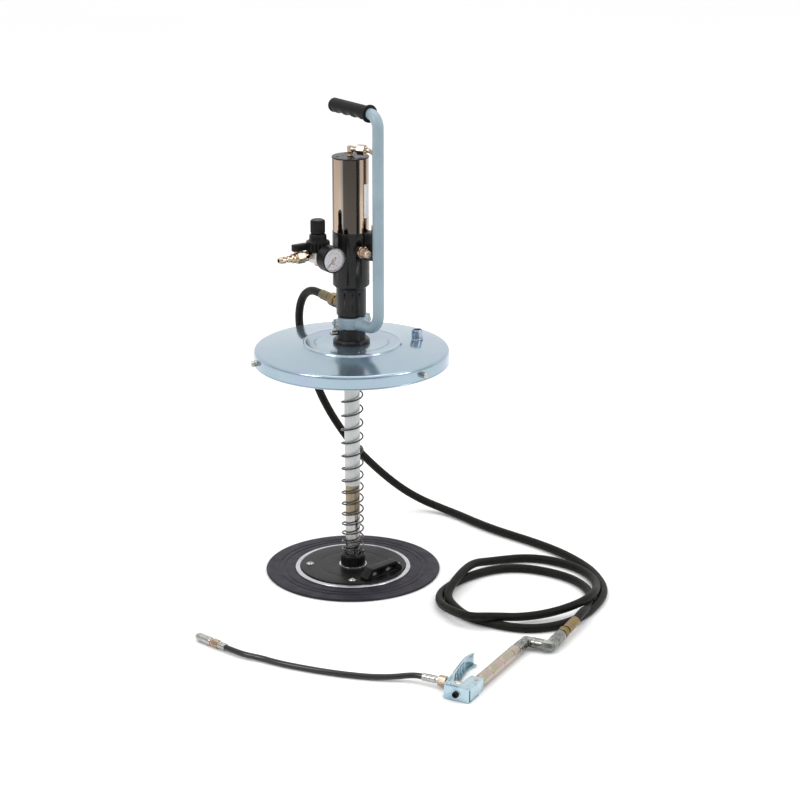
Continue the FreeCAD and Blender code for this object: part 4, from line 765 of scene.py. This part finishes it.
def carry_handle():
    out = direction(HANDLE)
    low, high = 463.1, 483.8
    level = (low + high) / 2
    top = 854
    route = bent([out * 25 + UP * level, out * 81 + UP * level, out * 81 + UP * top, out * -46 + UP * top],
        [30, 22], 3)
    pipe = sweep(route, 10, "handle_paint", 40)
    bead = lathe([(9, 24), (12.6, 24), (12.4, 29), (11.2, 34), (10.3, 40), (9, 41)],
        outward(HANDLE, level), "handle_paint", 2.5, 64)
    place = at(0, 0, 0, HANDLE)
    half_round = [polar(21.6, a) for a in range(88, -89, -4)]
    cheeks = [polar(28.5, a) for a in range(-62, 63, 4)]
    saddle = slab([(0.6, -21.6), (0.6, -37), (6, -37), (9.5, -34.5), (12, -29.5)] + cheeks + [(12, 29.5),
        (9.5, 34.5), (6, 37), (0.6, 37), (0.6, 21.6)] + half_round, low, high, place, "handle_paint", 0,
        3.2)
    wear("handle_frame", [pipe, bead, saddle], "handle_paint", "carry_handle")

    inner = [polar(-21.6, -a) for a in range(-88, 89, 4)]
    outer = [polar(-24.5, -a) for a in range(81, -82, -4)]
    strap = slab([(-0.6, -21.6)] + inner + [(-0.6, 21.6), (-0.6, 37), (-3.6, 37), (-3.6, 26)] + outer
        + [(-3.6, -26), (-3.6, -37), (-0.6, -37)], low + 2, high - 2, place, "handle_paint", 0, 0.5)
    wear("clamp_band", [strap], "handle_paint", "clamp_strap")
    bolts = []
    for sign in (-1, 1):
        spot = facing(UP * level + place.to_3x3() @ Vector((0, 32.5 * sign, 0)), out)
        bolts.append(lathe([(0, -11), (2.5, -11), (2.5, 6), (5.4, 6), (5.4, 6.6), (4.4, 6.8), (4.4, 9.4),
            (3.9, 9.9), (2.2, 9.9), (2, 8), (0, 8)], spot, "nickel", 0.2, 48))
        bolts.append(hexagon(8, -7.6, -3.6, spot, "nickel", 2.5, 0.6))
    wear("clamp_hardware", bolts, "nickel", "clamp_bolts")

    def scalloped(angle, radius, along):
        under = max(0, -cos(angle)) ** 0.8
        if radius < 12 or not -44 < along < 52:
            return radius
        return radius - 2.1 * under * (0.5 + 0.5 * cos((along - 4) * 2 * pi / 24))
    rows = [(0, -50), (9, -50), (11.6, -49.2), (12.6, -47)]
    rows += [(12.6, -44 + 2 * k) for k in range(49)]
    rows += [(12.8, 54), (15.6, 55.2), (15.6, 58), (14.8, 59), (10, 59), (10, -46), (0, -46)]
    grip = lathe(rows, outward(HANDLE, top), "grip_rubber", 0.25, 80, scalloped)
    wear("grip_sleeve", [grip], "black_rubber", "handle_grip")


# --- follower and its spring ---
def follower():
    lip = lathe([(20.4, 0), (156.5, 0), (158.6, 0.5), (159.3, 1.6), (158.9, 2.8), (156.5, 3.7),
        (137.2, 3.9), (136, 3), (134.4, 3), (133.2, 3.9), (126.8, 4), (125.6, 3.1), (124, 3.1), (122.8, 4),
        (112, 4), (20.4, 4)], HERE, "follower_rubber", 0.5, 240)
    wear("follower_wiper", [lip], "grey_rubber", "follower_lip", body="follower")
    plate = lathe([(14.6, 4), (96.2, 4), (96.2, 7.8), (95, 9), (62, 9), (61, 8.6), (60, 9), (14.6, 9)],
        HERE, "black_plastic", 0.5, 200)
    wear("follower_disc", [plate], "black_plastic", "follower_plate", body="follower")
    band = lathe([(96.5, 4), (105.7, 4), (105.7, 5.6), (104.2, 7), (101, 7.2), (97.6, 7), (96.5, 5.8)],
        HERE, "pale_ring", 0.7, 200)
    wear("follower_band", [band], "white_ring", "follower_ring", body="follower")
    hub = lathe([(14.6, 9), (22.5, 9), (22.5, 28.2), (20.2, 31), (14.6, 31)], HERE, "black_plastic", 0.7,
        96)
    washer = lathe([(22, 9), (25.4, 9), (25.4, 10.4), (22, 10.5)], HERE, "pale_ring", 0.3, 96)
    wear("follower_boss", [hub, washer], "black_plastic", "follower_hub", body="follower")
    screws = []
    for i in range(4):
        spot = direction(90 * i) * 79
        head = lathe([(0, 6), (2.4, 6), (2.4, 9), (7, 9), (7, 9.7), (5.2, 9.9), (4.4, 11.2), (1.6, 12),
            (0, 12)], at(spot.x, spot.y), "bright_steel", 0.2, 40)
        slots = [slab(oblong(-2.9, 2.9, -0.6, 0.6), 10.6, 13, at(spot.x, spot.y, 0, 45 + 90 * k), "hole",
            0, 0) for k in range(2)]
        screws.append(carve(head, slots))
    wear("disc_screws", screws, "nickel", "follower_screws", body="follower")

    side = Matrix.Rotation(radians(-45), 4, "Z") @ facing(ORIGIN, (1, 0, 0))
    outline = [(9, -49), (13, -49), (27, -35), (27, 27), (13, 41), (9, 41)]
    grip = slab(outline, 61, 79, side, "black_plastic", 3, 1.2)
    openings = ((0, 26), (-34, -8))
    gaps = [slab(oblong(10, 21, a, b), 50, 90, side, "black_plastic", 2.5, 0) for a, b in openings]
    wear("follower_handle", [carve(grip, gaps)], "black_plastic", "follower_grip", body="follower")


def spring():
    """A spring of round wire whose turns close up towards the follower."""
    low, high = 32.6, 431.6
    turns = 17.5
    points = []
    steps = int(turns * 28)
    for k in range(steps + 1):
        t = k / steps
        rise = 0.58 * t + 0.42 * (t * t * (1.5 - 0.5 * t))
        angle = 2 * pi * turns * t
        points.append((19.2 * cos(angle), 19.2 * sin(angle), low + (high - low) * rise))
    wire = sweep(points, 1.5, "dark_steel", 10)
    coil = wear("spring_wire", [wire], "dark_steel", "follower_spring")
    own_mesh(coil)


# --- air line ---
def regulator():
    place = outward(INLET, AIR_LEVEL)
    centre = direction(INLET) * 69
    here = at(centre.x, centre.y)
    nipple = lathe(oblong(3, 5.9, 24, 54), place, "nickel", 0.3)
    nut = hexagon(17, 35, 48, place, "nickel", 3, 1.2)
    washer = lathe([(5, 48), (7.6, 48), (7.6, 50.4), (6, 51.2), (5, 51.2)], place, "nickel", 0.3)
    wear("inlet_stem", [nipple, nut, washer], "nickel", "inlet_nipple")

    turned_here = at(centre.x, centre.y, 0, INLET)
    block = slab(oblong(-15, 15, -15, 15), 592.5, 612, turned_here, "alloy", 5, 1.2)
    arrows = []
    for turn in (90, -90):
        face = turned_here @ facing(UP * 603, direction(turn)) @ at(0, 0, 14.8)
        arrows.append(lathe([(0, 0), (8.6, 0), (8.6, 0.7), (7.6, 1.1), (0, 1.1)], face, "alloy", 0.2, 48))
    plug = lathe([(0, 585.5), (5.6, 585.5), (6.6, 587), (7, 589), (7, 592.6), (0, 592.6)], here, "nickel",
        0.4)
    wear("regulator_case", [block, plug] + arrows, "grey_paint", "regulator_body")

    def ribbed(angle, radius, height):
        if radius > 20 and 614 < height < 628.5:
            return radius - 1.3 * (0.5 + 0.5 * cos(24 * angle)) ** 0.6
        if 14 < radius < 16 and 634 < height:
            return radius - 0.5 * (0.5 + 0.5 * cos(24 * angle))
        return radius
    bonnet = lathe([(5.2, 612), (19.8, 612), (21, 612.8), (21, 614.4), (21, 628), (20.2, 629.6),
        (16.4, 631), (15.4, 632), (15, 640.6), (13.4, 641.4), (12.8, 643), (5.2, 643)], here,
        "black_plastic", 0.5, 240, ribbed)
    wear("regulator_ring", [bonnet], "black_plastic", "regulator_bonnet")

    def knurled(angle, radius, height):
        if radius > 11.5 and 645.5 < height < 665.5:
            return radius - 0.9 * (0.5 + 0.5 * cos(20 * angle)) ** 0.7
        return radius
    knob = lathe([(0, 624), (5, 624), (5, 643.4), (11.4, 643.4), (12.6, 644.6), (13, 646), (13, 664.8),
        (12.2, 666.6), (10.8, 667.6), (9.2, 667.8), (8.6, 667.2), (0, 667.2)], here, "black_plastic", 0.4,
        240, knurled)
    wear("regulator_cap", [knob], "black_plastic", "regulator_knob", body="knob")
    gauge(outward(GAUGE, AIR_LEVEL, centre))


def gauge(face):
    case = lathe([(0, 15), (5, 15), (5, 25), (9, 28), (21, 28), (22.6, 29), (23, 30.6), (23, 52),
        (22.4, 53), (21.1, 53), (20.9, 48), (0, 48)], face, "black_plastic", 0.4, 120)
    dial = lathe(oblong(0, 20.9, 48, 48.7), face, "dial", 0.1, 96)
    marks = []

    def scale(inner, outer, line, steps, finish):
        """Ticks over three quarters of a turn, longer every fifth, on a thin arc."""
        for i in range(steps + 1):
            turn = face @ Matrix.Rotation(radians(45 - 270 * i / steps), 4, "Z")
            start, half = (inner, 0.34) if i % 5 == 0 else ((inner + outer) / 2, 0.17)
            marks.append(slab(oblong(start, outer, -half, half), 48.6, 48.75, turn, finish, 0, 0))
        sides = [[polar(r, 45 - 5 * k) for k in range(55)] for r in (line, line + 0.25)]
        marks.append(slab(sides[0] + sides[1][::-1], 48.6, 48.75, face, finish, 0, 0))
    scale(16.4, 19.2, 19.3, 50, "dial_ink")
    scale(11.6, 14, 11.2, 35, "dial_red")
    for x, finish in ((-6.2, "dial_blue"), (-8.4, "dial_ink")):
        marks.append(slab(oblong(x, x + 1.2, -3.2, 3.2), 48.6, 48.75, face, finish, 0.4, 0))
    wear("gauge_cup", [case, dial] + marks, "black_plastic", "gauge_case")
    lens = lathe(oblong(0, 20.9, 51.4, 52.6), face, "glass", 0.2, 96)
    wear("gauge_glass", [lens], "lens", "gauge_lens")
    turn = face @ Matrix.Rotation(radians(135), 4, "Z")
    pointer = slab([(-6, -1.1), (2, -0.8), (17, -0.2), (17, 0.2), (2, 0.8), (-6, 1.1)], 49.7, 50.2, turn,
        "dial_ink", 0, 0.1)
    cap = lathe([(0, 49.3), (2.4, 49.3), (2.4, 50.6), (1.8, 51), (0, 51)], face, "hub_brass", 0.15, 32)
    wear("pointer", [pointer, cap], "needle", "gauge_needle", body="needle")


def ball_valve():
    place = outward(INLET, AIR_LEVEL)
    body = lathe([(0, 84), (6, 84), (6, 91), (8.6, 91.4), (9, 92.4), (9, 98.4), (0, 98.4)], place,
        "nickel", 0.4, 72)
    tail = lathe([(0, 114.6), (9, 114.6), (9, 116.4), (7.2, 117.8), (0, 117.8)], place, "nickel", 0.4, 72)
    flats = hexagon(20, 98.8, 114.8, place, "nickel", 0, 1.4)
    spot = direction(INLET) * 106.8
    neck = lathe([(3.1, 611), (5.6, 611), (5.6, 616.2), (5, 616.8), (3.1, 616.8)], at(spot.x, spot.y),
        "nickel", 0.3)
    wear("valve_shell", [body, tail, flats, neck], "nickel", "valve_body")
    lever = slab([(-14.8, -4.2), (-9, -5.5), (9, -5.5), (14.8, -4.2), (14.8, 4.2), (9, 5.5), (-9, 5.5),
        (-14.8, 4.2)], 617.5, 629.5, at(spot.x, spot.y, 0, INLET), "black_plastic", 1.6, 1.3)
    wear("valve_handle", [lever], "black_plastic", "valve_lever", body="valve_handle")
    plug = lathe([(3, 117.8), (8.5, 117.8), (8.5, 122.4), (7.6, 123.6), (6, 124.8), (6, 131.6),
        (4.5, 132.8), (4.5, 135.6), (6, 137.4), (6, 143.6), (5.6, 145), (4.5, 150.2), (3, 150.3)], place,
        "nickel", 0.3, 72)
    wear("air_nipple", [plug], "nickel", "air_plug")


# --- grease outlet and swivel ---
def outlet_fitting():
    place = outward(OUTLET, OUTLET_LEVEL)
    stem = lathe([(3, 18), (5.9, 18), (5.9, 29), (9, 29), (9, 30), (3, 30)], place, "brass", 0.3)
    near = hexagon(22, 29, 46, place, "gold_zinc", 3, 1.6)
    waist = lathe([(3, 45.6), (9, 45.6), (8.2, 47), (8.2, 49), (9, 50.2), (3, 50.2)], place, "gold_zinc",
        0.3)
    far = hexagon(22, 50, 70, place, "gold_zinc", 3, 1.6)
    tail = lathe([(3, 69.6), (9, 69.6), (9, 71.2), (7.6, 72), (3, 72)], place, "olive_zinc", 0.3)
    wear("outlet_union", [stem, near, waist, far, tail], "brass", "outlet_fitting")


def faceted_bend(points, radius, finish):
    """A bent bar with eight flats and mitred corners, as forged elbows have."""
    return sweep(bent(points, [2.5]), radius, finish, 8, 30)


def swivel():
    a = faceted_bend([gun(0, -11, GUN_AXIS), gun(0, 0, GUN_AXIS), gun(-14, 0, GUN_AXIS)], 9.6, "forged")
    b = faceted_bend([HOSE_END @ Vector((0, 0, 15)), gun(0, -44, GUN_AXIS), gun(0, -33, GUN_AXIS)], 10.4,
        "forged")
    collar = lathe([(0, 12), (8.4, 12), (8.8, 14), (8.2, 15), (8.2, 16.4), (9.6, 17.4), (10, 19), (10, 30),
        (9.2, 31), (9.2, 32.6), (10, 33.4), (10, 38.6), (9.2, 40), (0, 40)], GUN_BACK, "forged", 0.35, 96)
    pin = lathe(oblong(0, 5.5, 10.5, 33.5), LINK_END, "forged", 0.2)
    neck = lathe([(0, 14), (8.8, 14), (8.8, 15.4), (6, 16.6), (6, 39.5), (0, 39.5)], HOSE_END, "forged",
        0.3)
    wear("swivel_bends", [a, b, collar, pin, neck], "steel", "swivel_elbows")
    link = lathe([(5.6, 11.4), (8.9, 11.4), (9.5, 12.2), (9.5, 17.6), (9.1, 18.2), (9.1, 19.2),
        (9.5, 19.8), (9.5, 31.8), (8.9, 32.6), (5.6, 32.6)], LINK_END, "forged", 0.3, 96)
    wear("swivel_sleeve", [link], "steel", "swivel_link", body="link")
    nut = lathe([(6.1, 17), (9.2, 17), (10.2, 18.4), (10.5, 20), (10.5, 24.6), (10, 25.4), (9.7, 26.4),
        (10, 27.4), (10, 44.6), (9, 46.2), (7.1, 46.2), (7.1, 40), (6.1, 40)], HOSE_END, "forged", 0.35,
        96)
    flats = hexagon(19.4, 30, 40, HOSE_END, "forged", 7.2, 1.2)
    wear("swivel_cap", [nut, flats], "steel", "swivel_nut", body="hose_nut")


# --- control gun ---
def control_gun():
    rows = [(0, 40), (8, 40), (8, 42), (9.4, 42), (9.4, 64), (9.8, 65)]
    for start in (66, 108, 150):
        end = start + 38 if start < 150 else 180
        rows += [(10.5, start + 0.8), (10.5, end - 1), (10.2, end), (9.3, end + 1), (9.3, end + 3)]
    rows += [(10.3, 184), (10.3, 186), (0, 186)]
    tube = lathe(rows, GUN_BACK, "tube_plate", 0.3, 96)
    flats = hexagon(19.4, 42.5, 64, GUN_BACK, "tube_plate", 0, 1.2)
    head = slab([(-240, -10), (-186, -10), (-186, 12), (-198, 14), (-240, 14)], 1.6, 22.4, GUN, "gun_zinc",
        1.5, 0.8)
    bore = rod(3.6, 40, gun_facing(-221, 0, GUN_AXIS, (0, 1, 0)), "hole")
    carve(head, [bore])
    wear("gun_barrel", [tube, flats, head], "blue_zinc", "gun_body")

    top_plan = [(-242, -10), (-240, -11.4), (-205, -11.4), (-194, -6), (-192, 2), (-194, 6), (-200, 8),
        (-224, 8), (-227, 14), (-227, 36), (-236, 38), (-242, 34)]
    low_plan = [(-242, -11.4), (-205, -11.4), (-194, -6), (-192, 8), (-204, 20), (-222, 38), (-236, 38),
        (-242, 34)]
    roof = slab(top_plan, 22.5, 24, GUN, "gun_zinc", 2, 0.5)
    floor = slab(low_plan, 0, 1.5, GUN, "gun_zinc", 2, 0.45)
    front = slab(oblong(0.2, 24, -11, 34), 240.2, 242, gun_facing(0, 0, 0, (-1, 0, 0)), "gun_zinc", 2, 0.5)
    flank = slab([(2.5, -237), (23.9, -237), (23.9, -204), (18, -193), (9, -193), (2.5, -204)], 0, 1.4,
        gun_facing(0, -11.5, 0, (0, 1, 0)), "gun_zinc", 1.5, 0.45)
    # A thin near-black plate on the flank stands for the opening of a slot: painted shade.
    slot = slab(oblong(2, 22, -240, -237), 0, 0.6, gun_facing(0, -10.6, 0, (0, 1, 0)), "hole", 0, 0)
    wear("gun_frame", [roof, floor, front, flank, slot], "blue_zinc", "gun_bracket")

    pin = lathe([(0, 0.2), (2.5, 0.2), (2.5, 24), (4.2, 24), (4, 24.8), (3, 25.4), (0, 25.6)],
        facing(gun(-232, 30), UP), "gun_zinc", 0.2, 40)
    rivet = lathe([(0, 24), (3.6, 24), (3.3, 24.8), (2.2, 25.5), (0, 25.6)], facing(gun(-200, -4), UP),
        "tube_plate", 0.2, 40)
    screw_place = gun_facing(0, 12, GUN_AXIS, (-1, 0, 0))
    boss = hexagon(15, 241.8, 243.2, screw_place, "gun_zinc", 0, 0.4)
    screw = lathe([(0, 242), (5.2, 242), (5.5, 242.6), (5.5, 246.2), (4.7, 247), (2.9, 247), (2.9, 243.6),
        (0, 243.6)], screw_place, "black_plastic", 0.25, 48)
    wear("gun_hardware", [pin, rivet, boss, screw], "steel", "gun_pins")
    lever()


def inset(line, depth):
    """The line moved sideways toward the gun's axis."""
    moved = []
    for i, point in enumerate(line):
        ahead = Vector(line[min(i + 1, len(line) - 1)]) - Vector(line[max(i - 1, 0)])
        normal = Vector((ahead.y, -ahead.x)).normalized()
        moved.append((point[0] + normal.x * depth, point[1] + normal.y * depth))
    return moved


def lever():
    """A pressed channel: narrow upper cheek, wide lower cheek and a ribbed web between."""
    heel = [(-238, 33), (-236, 35.6), (-232, 38), (-215, 40.6)]
    skin = [(-190, 44), (-176, 46.5), (-164, 48.5), (-152, 50.5), (-142, 52), (-132, 53.2), (-122, 53.5),
        (-112, 51.6), (-104, 49)]
    narrow = inset(skin, 4.4)[::-1] + [(-212, 31), (-226, 23.4), (-234, 23.4), (-238, 27)]
    wide = inset(skin, 9.6)[::-1] + [(-203, 28.6), (-215, 24.4), (-226, 23.2), (-234, 23.4), (-238, 27)]
    low = slab(heel + skin + wide, 1.9, 3.5, GUN, "gun_zinc", 0.6, 0.4)
    top = slab(heel + skin + narrow, 20.5, 22.1, GUN, "gun_zinc", 0.6, 0.4)
    web = slab(skin + inset(skin, 1.6)[::-1], 1.9, 22.1, GUN, "gun_zinc", 0, 0.35)
    ribs = [slab([(s - 2.2, w), (s + 2.2, w), (s + 1.2, w - 1.8), (s - 1.2, w - 1.8)], 4.5, 19.5, GUN,
        "gun_zinc", 0, 0.5) for s, w in ((-178, 44.6), (-164, 47), (-150, 49.3), (-136, 51.2))]
    roller = rod(3.4, 19.6, facing(gun(-221, 27.85, 2.2), UP), "gun_zinc")
    wear("gun_trigger", [low, top, web, roller] + ribs, "blue_zinc", "gun_lever", body="lever")


# --- the nodes that stay as packed ---
PACKED = {"suction_tube": "grey_paint", "pump_barrel": "bronze", "foot_tube": "bright_steel",
    "foot_ball": "bright_steel", "plunger_ball": "bright_steel", "pump_plunger": "brass",
    "piston_rod": "bright_steel", "air_piston": "black_plastic", "rod_gland": "brass",
    "valve_spool": "bright_steel", "valve_ball": "nickel", "gun_plunger": "bright_steel"}


def packed_nodes():
    for name, finish in PACKED.items():
        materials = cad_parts[name].data.materials
        materials.clear()
        materials.append(MAT[finish])


make_materials()
stage_and_light()
camera()
packed_nodes()
hoses()
air_motor()
valve_and_transfer()
silencer()
collar_and_lid()
carry_handle()
follower()
spring()
regulator()
ball_valve()
outlet_fitting()
swivel()
control_gun()
